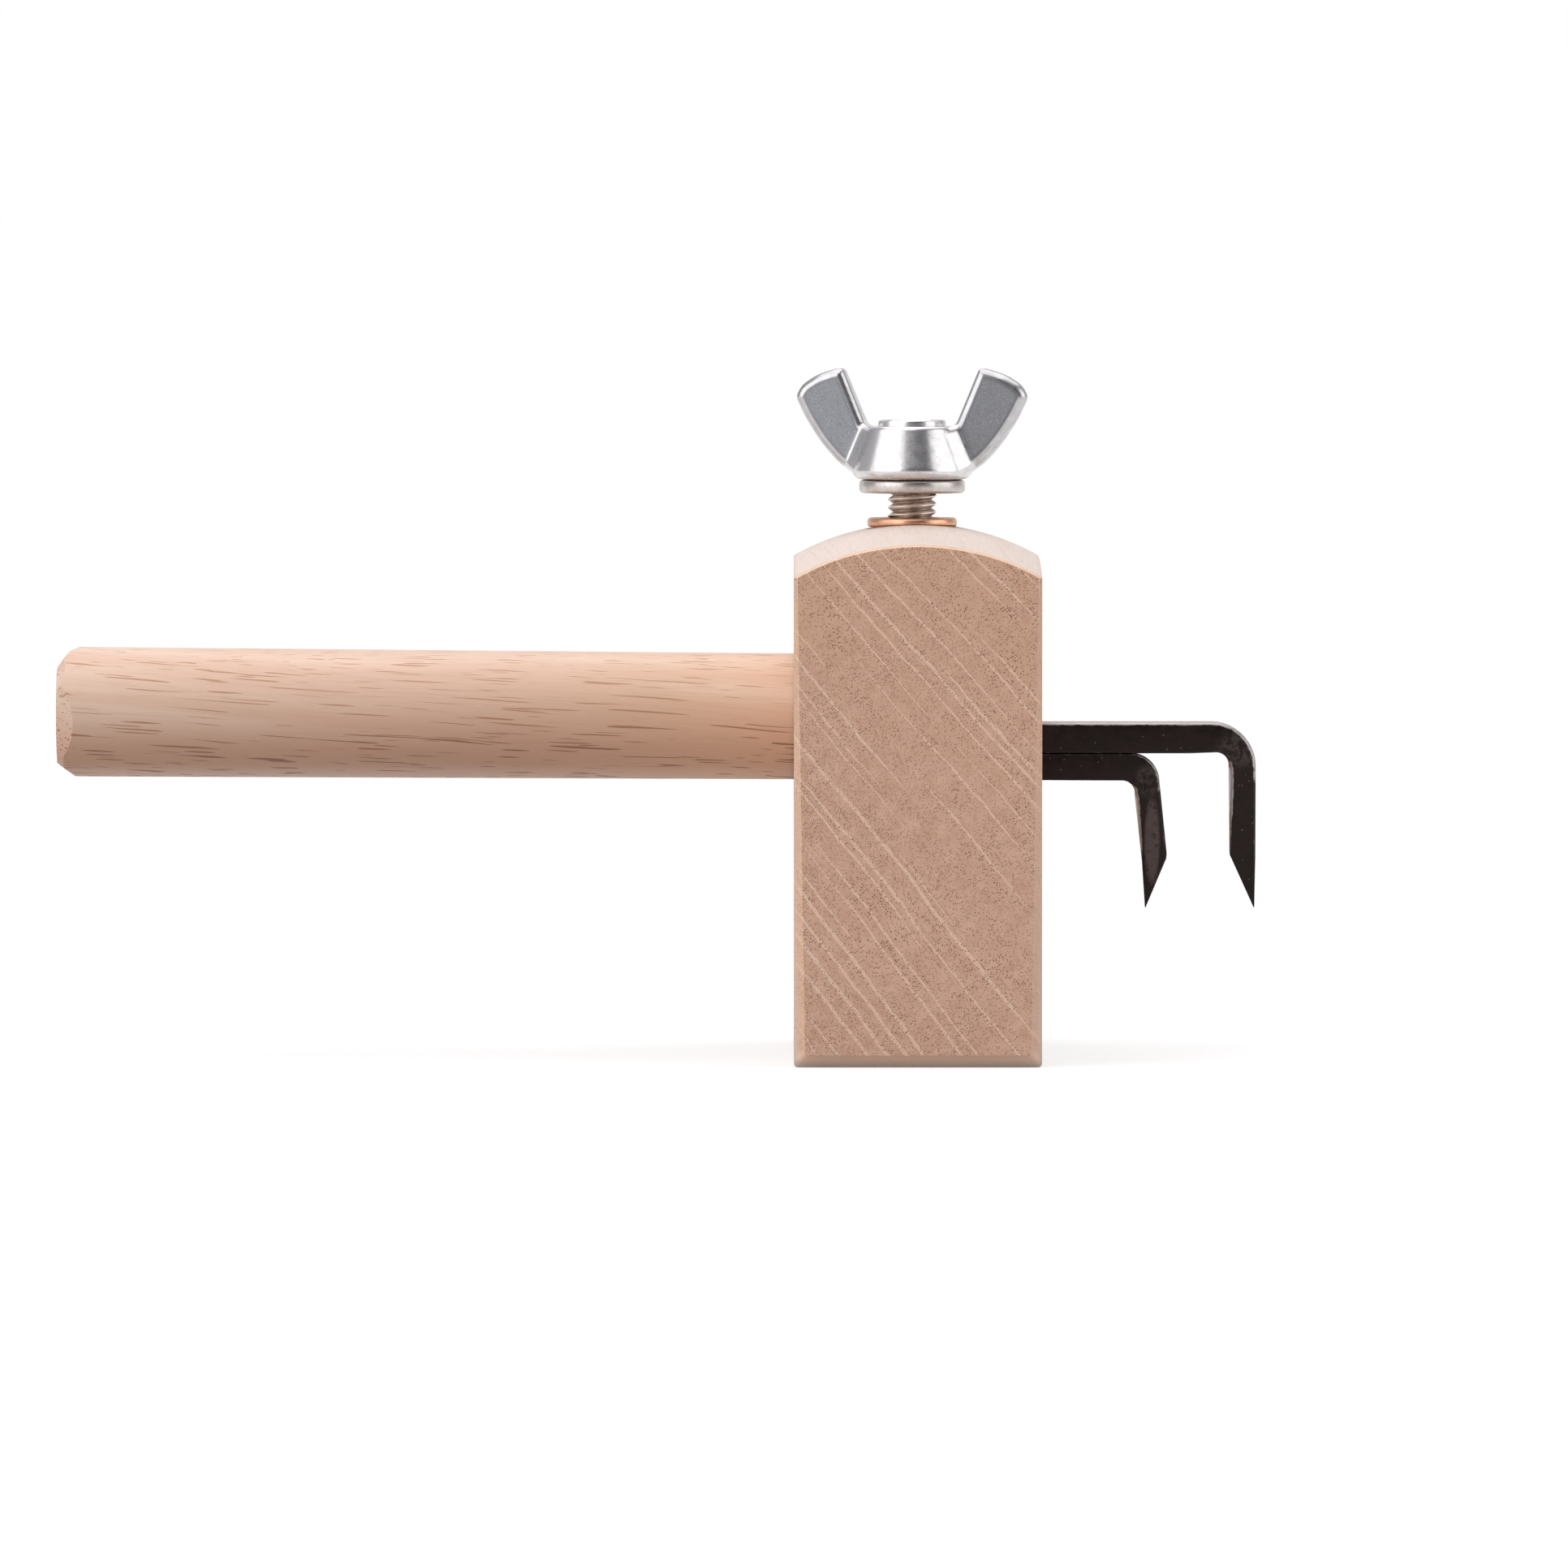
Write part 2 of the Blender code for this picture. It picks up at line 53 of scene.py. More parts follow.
def skin(name, grid, ring=False, marks=None):
    """A closed mesh from a (rows, columns, 3) grid of points. Each face joins row i, column j to
    row i + 1, column j + 1, and the last column joins the first. With ring the last row joins the
    first too, and without it both end rows get a flat cap. Faces are turned outwards by the sign
    of the volume, the sum of a . (b x c) + a . (c x d) over the faces abcd. marks holds one value
    for each point, for the finishes to read."""
    rows, columns = grid.shape[:2]
    points = grid.reshape(-1, 3)
    strips = np.arange(rows if ring else rows - 1)
    row, column = np.meshgrid(strips, np.arange(columns), indexing="ij")
    above, aside = (row + 1) % rows, (column + 1) % columns
    corners = [
        row * columns + column, row * columns + aside,
        above * columns + aside, above * columns + column,
    ]
    quads = np.stack(corners, -1).reshape(-1, 4)
    a, b, c, d = (points[quads] - points.mean(0)).transpose(1, 0, 2)
    volume = (a * (np.cross(b, c) + np.cross(c, d))).sum()
    faces = quads.tolist()
    if not ring:
        first = np.arange(columns)
        faces += [first[::-1].tolist(), (first + (rows - 1) * columns).tolist()]
    if volume < 0:
        faces = [face[::-1] for face in faces]
    mesh = bpy.data.meshes.new(name)
    mesh.from_pydata(points.tolist(), [], faces)
    for label, values in (marks or {}).items():
        layer = mesh.attributes.new(label, "FLOAT", "POINT")
        layer.data.foreach_set("value", np.ascontiguousarray(values, np.float32).ravel())
    piece = bpy.data.objects.new(name, mesh)
    bpy.context.scene.collection.objects.link(piece)
    return piece


def bake_shape(piece):
    """Makes what the piece's modifiers give its own mesh."""
    graph = bpy.context.evaluated_depsgraph_get()
    shaped = bpy.data.meshes.new_from_object(piece.evaluated_get(graph))
    piece.modifiers.clear()
    piece.data = shaped


def bore_out(piece, *cutters):
    """Takes each cutter's shape out of the piece and throws the cutter away."""
    for cutter in cutters:
        cut = piece.modifiers.new("cut", "BOOLEAN")
        cut.operation, cut.solver, cut.object = "DIFFERENCE", "EXACT", cutter
    bake_shape(piece)
    for cutter in cutters:
        bpy.data.objects.remove(cutter)


def fit(piece, body, finish, crease=30.0):
    """Shades the piece with edges over crease degrees left sharp, finishes it, and puts it in
    place of the solid that has its name without the ending."""
    piece.data.shade_smooth()
    piece.data.set_sharp_from_angle(angle=math.radians(crease))
    piece.data.materials.clear()
    piece.data.materials.append(finish)
    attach(piece, body)
    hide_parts(piece.name.replace("_made", ""))


def turned(name, radius, height, centre, steps, ring=True, axis="z"):
    """A profile carried round an axis through centre: at angle a its points are
    (radius cos a, radius sin a, height), or (height, radius cos a, radius sin a) about x."""
    angle = np.linspace(0, math.tau, steps, endpoint=False)
    radius, height = np.asarray(radius)[:, None], np.asarray(height)[:, None] + 0 * angle
    ways = [radius * np.cos(angle), radius * np.sin(angle), height]
    if axis == "x":
        ways = [height, radius * np.cos(angle), radius * np.sin(angle)]
    return skin(name, np.stack(ways, -1) + np.array(centre), ring)


def plain_box(name, low, high):
    """A box between two corners, as two square rows."""
    (x0, y0, z0), (x1, y1, z1) = low, high
    square = [(y0, z0), (y1, z0), (y1, z1), (y0, z1)]
    return skin(name, np.array([[(x, y, z) for y, z in square] for x in (x0, x1)]))


block_half_wide, block_half_long = 15 * mm, 37.5 * mm
shoulder_height, arch_rise, crown_rise = 59.2 * mm, 3.9 * mm, 1.9 * mm
arch_radius = (block_half_wide**2 + arch_rise**2) / (2 * arch_rise)
handle_height = 41.2 * mm
slot_half_wide, slot_top = 2.8 * mm, 41.05 * mm
axis_x = -0.5 * mm


def block_outline():
    """The block across x, as points (x, z) and outward normals. Each foot corner is a quarter of
    a circle, the sides are straight, and the top is an arc of radius
    (half width^2 + rise^2) / (2 rise), which each shoulder's small arc touches."""
    half, low_arc, shoulder_arc = block_half_wide, 0.5 * mm, 0.3 * mm
    middle = shoulder_height + arch_rise - arch_radius
    shoulder_x = half - shoulder_arc
    shoulder_z = middle + math.sqrt((arch_radius - shoulder_arc) ** 2 - shoulder_x**2)
    lean = math.atan2(shoulder_z - middle, shoulder_x)
    low = np.linspace(-math.pi / 2, 0, 7)
    side = np.linspace(low_arc, shoulder_z, 26)[1:-1]
    turn = np.linspace(0, lean, 6)
    top = np.linspace(lean, math.pi / 2, 22)[1:]
    foot = np.linspace(0, half - low_arc, 9)[:-1]
    x = np.concatenate([foot, half - low_arc + low_arc * np.cos(low), half + 0 * side,
                        shoulder_x + shoulder_arc * np.cos(turn), arch_radius * np.cos(top)])
    z = np.concatenate([0 * foot, low_arc + low_arc * np.sin(low), side,
                        shoulder_z + shoulder_arc * np.sin(turn), middle + arch_radius * np.sin(top)])
    angle = np.concatenate([0 * foot - math.pi / 2, low, 0 * side, turn, top])
    right = np.stack([x, z, np.cos(angle), np.sin(angle)], -1)
    left = right[-2:0:-1] * (-1, 1, -1, 1)
    return np.concatenate([right, left])


def block_grid():
    """Sections along y. Near an end the section narrows over its chamfers: at y = end + g w it is
    smaller by f w, where w is the chamfer's width there and f^1.15 + g^1.15 = 1. x shrinks in
    proportion, the foot rises, and the top keeps to its arc. The crown lifts the top by
    rise (1 - (y / half length)^2), and the sides with it in proportion to their height."""
    foot_chamfer, side_chamfer_low, side_chamfer_high = 1.5 * mm, 1.35 * mm, 0.45 * mm
    x, z, _, nz = block_outline().T
    side = np.interp(z, [0, shoulder_height], [side_chamfer_low, side_chamfer_high])
    on_foot, on_side = np.interp(nz, [-1, 0], [1, 0]), np.interp(nz, [-1, 0, 0.45], [0, 1, 0])
    on_top = np.interp(nz, [0.0, 0.45], [0, 1])
    width = on_foot * foot_chamfer + on_side * side + (0.05 + 0.1 * on_top) * mm
    step = np.linspace(0, math.pi / 2, 6)[:, None]
    g, f = np.sin(step) ** (2 / 1.15), np.cos(step) ** (2 / 1.15)
    front = -block_half_long + width * g
    last_whole = block_half_long - 2 * mm
    between = np.linspace(-last_whole, last_whole, 40)[:, None] + 0 * x
    y = np.concatenate([front, between, -front[::-1]])
    f = np.concatenate([f, 0 * between[:, :1], f[::-1]])
    narrow = x * (1 - side * f / block_half_wide)
    middle = shoulder_height + arch_rise - arch_radius
    arc = middle + np.sqrt(arch_radius**2 - narrow**2) - 0.15 * mm * f
    how_high = np.clip(z / shoulder_height, 0, 1)
    low = z + foot_chamfer * f * (1 - how_high)
    height = low * (1 - on_top) + np.minimum(arc, low) * on_top
    crown = crown_rise * (1 - (y / block_half_long) ** 2)
    return np.stack([narrow, y, height + crown * how_high], -1)


def add(tree, kind, inputs=(), **settings):
    """One shader node. Each input is given a value, or a link from another node's output."""
    made = tree.nodes.new("ShaderNode" + kind)
    for name, value in settings.items():
        setattr(made, name, value)
    for name, value in dict(inputs).items():
        if hasattr(value, "links"):
            tree.links.new(value, made.inputs[name])
        else:
            made.inputs[name].default_value = value
    return made


def calc(tree, operation, *values):
    """A sum, a product or another function of values."""
    return add(tree, "Math", dict(enumerate(values)), operation=operation).outputs[0]


def times(tree, first, second):
    return calc(tree, "MULTIPLY", first, second)


def grade(tree, value, start, end, low=0.0, high=1.0):
    """low up to start, high from end on, and an S-shaped change between."""
    limits = {"Value": value, "From Min": start, "From Max": end, "To Min": low, "To Max": high}
    return add(tree, "MapRange", limits, interpolation_type="SMOOTHSTEP").outputs[0]


def tint(tree, share, first, second):
    """A mix of two colours, each a socket or its red, green and blue."""
    first, second = (c if hasattr(c, "links") else (*c, 1.0) for c in (first, second))
    return add(tree, "Mix", {0: share, 6: first, 7: second}, data_type="RGBA").outputs[2]


def point(tree, x, y, z):
    return add(tree, "CombineXYZ", {0: x, 1: y, 2: z}).outputs[0]


def stretched(tree, place, x, y, z):
    """The place scaled along each axis. What is drawn there is longest where the scale is least."""
    return add(tree, "VectorMath", {0: place, 1: (x, y, z)}, operation="MULTIPLY").outputs[0]


def cloud(tree, place, scale, detail=2.0, rough=0.5):
    """Soft noise about 0.5, whose clouds are about 1 / scale across."""
    noise = {"Vector": place, "Scale": scale, "Detail": detail, "Roughness": rough}
    return add(tree, "TexNoise", noise).outputs[0]


def place_in_mm(tree, turn=(0.0, 0.0, 0.0)):
    """Where on the piece the point is, in millimetres, along axes that may be turned."""
    where = add(tree, "TexCoord").outputs["Object"]
    mapping = {"Vector": where, "Scale": (1000, 1000, 1000), "Rotation": turn}
    return add(tree, "Mapping", mapping).outputs[0]


def distance(tree, place):
    """How far the place is from zero."""
    return add(tree, "VectorMath", {0: place}, operation="LENGTH").outputs["Value"]


def axes_of(tree, place):
    """The x, y and z of a place, or the red, green and blue of a colour."""
    return add(tree, "SeparateXYZ", {0: place}).outputs


def new_finish(name, **sockets):
    """A material whose uniform values stand on the shader's own sockets."""
    made = bpy.data.materials.new(name)
    made.use_nodes = True
    shader = made.node_tree.nodes["Principled BSDF"]
    for socket, value in sockets.items():
        shader.inputs[socket.replace("_", " ")].default_value = value
    return made, made.node_tree, shader


def raise_surface(tree, shader, height, depth):
    """Height from 0 to 1 stands depth proud of the surface."""
    bump = add(tree, "Bump", {"Height": height, "Distance": depth, "Strength": 1.0})
    tree.links.new(bump.outputs[0], shader.inputs["Normal"])


def new_group(name, inputs, outputs):
    """A node group with (name, socket type, default) inputs and named value outputs."""
    group = bpy.data.node_groups.new(name, "ShaderNodeTree")
    for label, kind, value in inputs:
        socket = group.interface.new_socket(label, in_out="INPUT", socket_type="NodeSocket" + kind)
        if value is not None:
            socket.default_value = value
    for label in outputs:
        group.interface.new_socket(label, in_out="OUTPUT", socket_type="NodeSocketFloat")
    return group, group.nodes.new("NodeGroupInput").outputs, group.nodes.new("NodeGroupOutput").inputs


def set_outputs(group, ends, **values):
    for label, value in values.items():
        group.links.new(value, ends[label])


def use_group(tree, group, place, **values):
    """Puts a node group in a material, with the values the material gives it. Gives its outputs."""
    inputs = {label.replace("_", " "): value for label, value in values.items()}
    return add(tree, "Group", {"Place": place, **inputs}, node_tree=group).outputs


def wood_fibre_group():
    """Wood seen anywhere in a log, from its place as (across the rays, along the rays, along the
    grain) in millimetres. Pore is 1 in a vessel, and vessels crowd in patches. Fibre and Mottle
    are soft streaks and clouds about 0.5."""
    group, given, ends = new_group(
        "wood fibre",
        [("Place", "Vector", None), ("Pore Spacing", "Float", 0.24), ("Pore Width", "Float", 0.105)],
        ["Pore", "Fibre", "Mottle"],
    )
    slow = stretched(group, given["Place"], 0.05, 0.05, 0.05)
    drift = add(group, "TexNoise", {"Vector": slow, "Scale": 1.0, "Detail": 1.0}).outputs[1]
    drift = stretched(group, drift, 7.0, 7.0, 0.0)
    wandering = add(group, "VectorMath", {0: given["Place"], 1: drift}, operation="ADD").outputs[0]
    closeness = calc(group, "DIVIDE", 1.0, given["Pore Spacing"])
    cells = {"Vector": wandering, "Scale": closeness}
    vessels = add(group, "TexVoronoi", cells, voronoi_dimensions="2D")
    gap = times(group, vessels.outputs["Distance"], given["Pore Spacing"])
    size = times(group, axes_of(group, vessels.outputs["Color"])[0], given["Pore Width"])
    open_end = grade(group, calc(group, "SUBTRACT", size, gap), 0.0, 0.03)
    crowding = cloud(group, stretched(group, given["Place"], 0.6, 0.2, 0.05), 1.0, 3.0)
    patch = grade(group, crowding, 0.38, 0.6, 0.5, 1.0)
    set_outputs(
        group, ends,
        Pore=times(group, open_end, patch),
        Fibre=cloud(group, stretched(group, given["Place"], 2.6, 2.6, 0.08), 1.0, 3.0, 0.6),
        Mottle=cloud(group, stretched(group, given["Place"], 0.9, 0.5, 0.12), 1.0, 6.0, 0.75),
    )
    return group


wood_fibre = wood_fibre_group()


def ray_lines(tree, across, radial, along, spacing, widest, soft):
    """Thin lines along the rays: one in each spacing across them, at a place of its own, where
    half its width swells and closes as it runs. 1 on a line."""
    rays = {"W": calc(tree, "DIVIDE", across, spacing), "Scale": 1.0, "Randomness": 0.7}
    cells = add(tree, "TexVoronoi", rays, voronoi_dimensions="1D")
    away = times(tree, cells.outputs["Distance"], spacing)
    own = times(tree, axes_of(tree, cells.outputs["Color"])[0], 60.0)
    run = point(tree, own, times(tree, radial, 0.024), times(tree, along, 0.12))
    half = grade(tree, cloud(tree, run, 1.0, 1.0), 0.3, 0.66, -0.3 * soft, widest)
    return grade(tree, calc(tree, "SUBTRACT", half, away), 0.0, soft)


def block_wood():
    """Oak about a pith 204 mm left of the block's middle and 276 mm above its foot: rays point at
    it and growth rings go round it. The long grain lies along y."""
    pith_left, pith_up, usual_distance = 204.0, 276.0, 300.0
    wood, tree, shader = new_finish("block oak", Roughness=0.5, IOR=1.45)
    place = place_in_mm(tree)
    x, y, z = axes_of(tree, place)
    right, up = calc(tree, "ADD", x, pith_left), calc(tree, "SUBTRACT", z, pith_up)
    slow_drift = cloud(tree, stretched(tree, place, 0.05, 0.03, 0.05), 1.0, 1.0)
    quick_drift = cloud(tree, stretched(tree, place, 0.35, 0.05, 0.35), 1.0, 2.0)
    wave = calc(tree, "MULTIPLY_ADD", slow_drift, 1.4, -0.7)
    kink = calc(tree, "MULTIPLY_ADD", quick_drift, 0.5, -0.25)
    across = times(tree, calc(tree, "ARCTAN2", up, right), usual_distance)
    across = calc(tree, "ADD", calc(tree, "ADD", across, wave), kink)
    radial = distance(tree, point(tree, right, up, 0.0))
    fibre = use_group(tree, wood_fibre, point(tree, across, radial, y))
    broad = ray_lines(tree, across, radial, y, spacing=1.75, widest=0.24, soft=0.1)
    elsewhere = calc(tree, "ADD", across, 31.0)
    fine = ray_lines(tree, elsewhere, radial, y, spacing=0.7, widest=0.07, soft=0.1)
    ring_drift = cloud(tree, stretched(tree, place, 0.05, 0.01, 0.05), 1.0)
    ring_place = calc(tree, "MULTIPLY_ADD", ring_drift, 9.0, radial)
    ring = calc(tree, "SINE", times(tree, ring_place, 2.1))
    ring = calc(tree, "MULTIPLY_ADD", ring, 0.5, 0.5)

    mottle = grade(tree, fibre["Mottle"], 0.3, 0.7)
    end = tint(tree, mottle, (0.64, 0.372, 0.255), (0.765, 0.485, 0.355))
    warm = grade(tree, calc(tree, "MULTIPLY_ADD", x, 0.4, z), 22.0, 64.0, 0.0, 0.6)
    end = tint(tree, warm, end, (0.69, 0.41, 0.275))
    end = tint(tree, times(tree, ring, 0.16), end, (0.52, 0.29, 0.19))
    end = tint(tree, times(tree, fine, 0.5), end, (0.72, 0.48, 0.36))
    end = tint(tree, times(tree, broad, 0.8), end, (0.87, 0.605, 0.465))
    end = tint(tree, times(tree, fibre["Pore"], 0.85), end, (0.16, 0.08, 0.052))

    long = tint(tree, fibre["Fibre"], (0.68, 0.54, 0.46), (0.78, 0.67, 0.61))
    beside = grade(tree, calc(tree, "ABSOLUTE", x), 14.6, 14.95)
    long = tint(tree, times(tree, beside, 0.6), long, (0.72, 0.50, 0.365))
    long = tint(tree, times(tree, broad, 0.2), long, (0.62, 0.42, 0.30))
    long = tint(tree, times(tree, fibre["Pore"], 0.18), long, (0.50, 0.33, 0.23))

    # Going out along the block, the long grain turns to the slanting wood of the chamfers and then
    # to the end grain.
    from_middle = calc(tree, "ABSOLUTE", y)
    aslant = tint(tree, 0.5, end, (0.84, 0.54, 0.37))
    aslant = tint(tree, grade(tree, z, 2.5, 0.8), aslant, (0.98, 0.66, 0.48))
    long = tint(tree, grade(tree, from_middle, 35.9, 36.9), long, aslant)
    arched_edge = times(tree, grade(tree, from_middle, 37.28, 37.34), grade(tree, z, 56.5, 58.5))
    long = tint(tree, arched_edge, long, (0.93, 0.66, 0.45))
    colour = tint(tree, grade(tree, from_middle, 37.42, 37.49), long, end)
    tree.links.new(colour, shader.inputs["Base Color"])
    sunk = calc(tree, "SUBTRACT", fibre["Fibre"], times(tree, fibre["Pore"], 0.9))
    raise_surface(tree, shader, calc(tree, "ADD", sunk, times(tree, broad, 0.3)), 0.012 * mm)
    return wood


socket_radius, barrel_hole, flange_hole = 8.23 * mm, 4.7 * mm, 5.8 * mm
fence_block = skin("fence_block_made", block_grid())
socket = turned(
    "socket",
    [socket_radius, socket_radius], [-17 * mm, -6.7 * mm],
    (0, 0, handle_height), steps=96, ring=False, axis="x",
)
mortise = plain_box(
    "mortise", (-7.3 * mm, -slot_half_wide, 33.3 * mm), (17 * mm, slot_half_wide, slot_top)
)
bush_hole = turned(
    "bush_hole",
    [barrel_hole, barrel_hole, flange_hole, flange_hole],
    [40.75 * mm, 64.3 * mm, 64.3 * mm, 67 * mm],
    (axis_x, 0, 0), steps=96, ring=False,
)
bore_out(fence_block, socket, mortise, bush_hole)
fit(fence_block, "stock", block_wood())


# ------------------------------------------------------------------------------------------------
# Handle: a rod of the same oak turned from long grain, glued by its tenon into the block. Its free
# end is pared back with a few flat cuts, and a groove along its underside takes the blades' tails.
# ------------------------------------------------------------------------------------------------

def handle_grid():
    """Rings along x from the tenon to the free end. The rod's radius grows and its axis rises
    evenly outwards. Past the last ring the end is a disc whose height towards -x is the lowest of
    its flat end and the paring cuts. Each cut has a place, in degrees from the top round to the
    viewer's side, a depth and a slope. It is the plane
    end - depth + (R - r cos(a - place)) slope."""
    tenon, reach = -7.0 * mm, 105.3 * mm
    angle = np.linspace(0, math.tau, 144, endpoint=False)
    cuts = [
        (98, 2.15, 1.0), (0, 2.8, 2.2), (0, 1.95, 0.75), (0, 0.55, 0.16), (180, 3.0, 1.3),
        (270, 1.9, 1.0), (45, 1.15, 0.8), (315, 1.3, 0.8), (135, 0.95, 1.1), (225, 1.1, 1.1),
    ]

    def outline(out):
        """The rod's radius and its axis's height, at out from the block's middle."""
        share = (out - block_half_wide) / (reach - block_half_wide)
        return (7.93 + 0.23 * share) * mm, handle_height + 0.6 * mm * share

    full, axis = outline(reach)
    share = np.linspace(1, 0.02, 46)[:, None]
    radius = full * share + 0 * angle
    planes = [
        reach - depth * mm + (full - radius * np.cos(angle - math.radians(place))) * slope
        for place, depth, slope in cuts
    ]
    out = np.minimum(reach, np.min(planes, axis=0))
    out = np.minimum(out, reach - 0.25 * mm * share**6)
    end = np.stack([-out, -radius * np.sin(angle), axis + radius * np.cos(angle)], -1)
    along = np.linspace(0, 1, 60)[:-1, None]
    out = -tenon + (out[0] + tenon) * along
    radius, axis = outline(out)
    rod = np.stack([-out, -radius * np.sin(angle), axis + radius * np.cos(angle)], -1)
    return np.concatenate([rod, end])


def handle_wood():
    """The same oak seen along the grain, which falls 4 degrees to the right. Its rays come out of the
    surface as brown flecks, each a pointed lens. Wood and flecks get painted shade downwards, where the
    lamps' light turns away, and a paler strip along the underside is painted light bounced from the
    floor. The wood is warmer towards the block."""
    wood, tree, shader = new_finish("handle oak", Roughness=0.46, IOR=1.5, Sheen_Weight=0.3)
    place = place_in_mm(tree, (0.0, math.radians(-4.0), 0.0))
    along, depth, across = axes_of(tree, place)
    drift = cloud(tree, stretched(tree, place, 0.02, 0.06, 0.1), 1.0, 1.0)
    across = calc(tree, "ADD", across, calc(tree, "MULTIPLY_ADD", drift, 2.4, -1.2))
    grain = point(tree, across, depth, along)
    fibre = use_group(tree, wood_fibre, grain, Pore_Spacing=0.5, Pore_Width=0.1)

    def flecks(length, width, start, seed):
        """Narrow islands about length by width in millimetres, where a cloud rises over start."""
        where = point(
            tree,
            calc(tree, "MULTIPLY_ADD", along, 1 / length, seed),
            calc(tree, "MULTIPLY_ADD", across, 1 / width, seed),
            times(tree, depth, 0.8 / width),
        )
        return grade(tree, cloud(tree, where, 1.0, 0.0), start, start + 0.03)

    fleck = calc(tree, "MAXIMUM", flecks(13.0, 0.28, 0.724, 3.7), flecks(9.0, 0.24, 0.732, 41.3))
    rod = point(tree, along, depth, across)
    streak = grade(tree, cloud(tree, stretched(tree, rod, 0.01, 0.2, 0.3), 1.0, 2.0), 0.35, 0.65)
    hair = grade(tree, cloud(tree, stretched(tree, rod, 0.09, 3.0, 5.0), 1.0, 2.0, 0.6), 0.45, 0.75)
    colour = tint(tree, streak, (0.72, 0.475, 0.345), (0.79, 0.575, 0.445))
    height = axes_of(tree, place_in_mm(tree))[2]
    # Painted shade: low darkens the wood below the rod's axis, where the lamps' light turns away.
    # Painted light: the strip along the underside is made paler, standing in for light bounced up from
    # the floor.
    low, painted_bounce_light = grade(tree, height, 44.0, 36.6), grade(tree, height, 36.0, 33.8)
    inward = grade(tree, along, -70.0, -14.0)
    colour = tint(tree, times(tree, low, 0.8), colour, (0.53, 0.265, 0.16))
    colour = tint(tree, times(tree, painted_bounce_light, 0.8), colour, (0.82, 0.56, 0.43))
    colour = tint(tree, times(tree, inward, 0.35), colour, (0.84, 0.50, 0.31))
    colour = tint(tree, times(tree, hair, 0.3), colour, (0.55, 0.33, 0.215))
    colour = tint(tree, times(tree, fibre["Pore"], 0.2), colour, (0.42, 0.25, 0.16))
    # The flecks share the painted shade: darker and stronger towards the underside.
    brown = tint(tree, low, (0.46, 0.20, 0.10), (0.27, 0.11, 0.05))
    strength = calc(tree, "MULTIPLY_ADD", low, 0.2, 0.75)
    colour = tint(tree, times(tree, fleck, strength), colour, brown)
    tree.links.new(colour, shader.inputs["Base Color"])
    sunk = calc(tree, "SUBTRACT", fibre["Fibre"], times(tree, fleck, 0.4))
    raise_surface(tree, shader, sunk, 0.015 * mm)
    return wood


handle = skin("handle_made", handle_grid())
groove = plain_box("groove", (-110 * mm, -slot_half_wide, 20 * mm), (0, slot_half_wide, slot_top))
bore_out(handle, groove)
fit(handle, "stock", handle_wood(), crease=24)


# ------------------------------------------------------------------------------------------------
# Blades: two L's of flat steel bar, forged black, one lying on the other in the mortise. Each leg
# is drawn down narrower and ground to a one-sided scoring edge; corners and bends rub bright.
# ------------------------------------------------------------------------------------------------

def forged_bar(name, inner, outer, half_wide, inner_soft, outer_soft, inner_rubbed, outer_rubbed):
    """A bar between two lines of (x, z) stations. Its section runs from inner to outer and
    half_wide to each side in y. Each corner is an arc of its own softness s, so its points are
    (end - s + s cos a, half_wide - s + s sin a). The edge mark there is a fifth of sin 2a, and
    where the inner or outer side is rubbed, the rubbed share times cos a as well."""
    inner, outer = np.asarray(inner) * mm, np.asarray(outer) * mm
    way = outer - inner
    thick = np.linalg.norm(way, axis=1, keepdims=True)
    way = way / thick
    wide = np.asarray(half_wide)[:, None] * mm
    limit = np.minimum(0.46 * thick, 0.8 * wide)
    soft_in = np.minimum(np.asarray(inner_soft)[:, None] * mm, limit)
    soft_out = np.minimum(np.asarray(outer_soft)[:, None] * mm, limit)
    turn = np.linspace(0, math.pi / 2, 7)
    ahead = [thick - soft_out + soft_out * np.cos(turn), soft_in - soft_in * np.sin(turn)]
    aside = [wide - soft_out + soft_out * np.sin(turn), wide - soft_in + soft_in * np.cos(turn)]
    p = np.concatenate([ahead[0], ahead[1], ahead[1][:, ::-1], ahead[0][:, ::-1]], 1)
    q = np.concatenate([aside[0], aside[1], -aside[1][:, ::-1], -aside[0][:, ::-1]], 1)
    rubbed = [np.asarray(share)[:, None] * np.cos(turn) for share in (outer_rubbed, inner_rubbed)]
    edge = np.concatenate([rubbed[0], rubbed[1][:, ::-1], rubbed[1], rubbed[0][:, ::-1]], 1)
    edge = edge + 0.2 * np.tile(np.sin(2 * turn), 4)
    x = inner[:, :1] + way[:, :1] * p
    z = inner[:, 1:] + way[:, 1:] * p
    return skin(name, np.stack([x, q, z], -1), marks={"edge": edge})


def line(start, end, steps):
    """Points equally far apart from start to end."""
    share = np.linspace(0, 1, steps)[:, None]
    return np.asarray(start) * (1 - share) + np.asarray(end) * share


def bend(centre, radius, steps):
    """A quarter of a circle, from straight up to straight right of the centre."""
    turn = np.linspace(0, math.pi / 2, steps)[:, None]
    return np.asarray(centre) + radius * np.concatenate([np.sin(turn), np.cos(turn)], 1)


def edge_wear_group():
    """Where a corner is rubbed: the piece's own edge mark, broken up by small clouds."""
    group, given, ends = new_group(
        "edge wear",
        [("Place", "Vector", None), ("Edge", "Float", 0.0), ("Amount", "Float", 0.5)],
        ["Wear"],
    )
    patches = cloud(group, given["Place"], 0.9, 3.0, 0.65)
    reach = calc(group, "ADD", times(group, given["Edge"], given["Amount"]), patches)
    rubbed, at_edge = grade(group, reach, 0.62, 0.95), grade(group, given["Edge"], 0.0, 0.5)
    set_outputs(group, ends, Wear=times(group, rubbed, at_edge))
    return group


edge_wear = edge_wear_group()


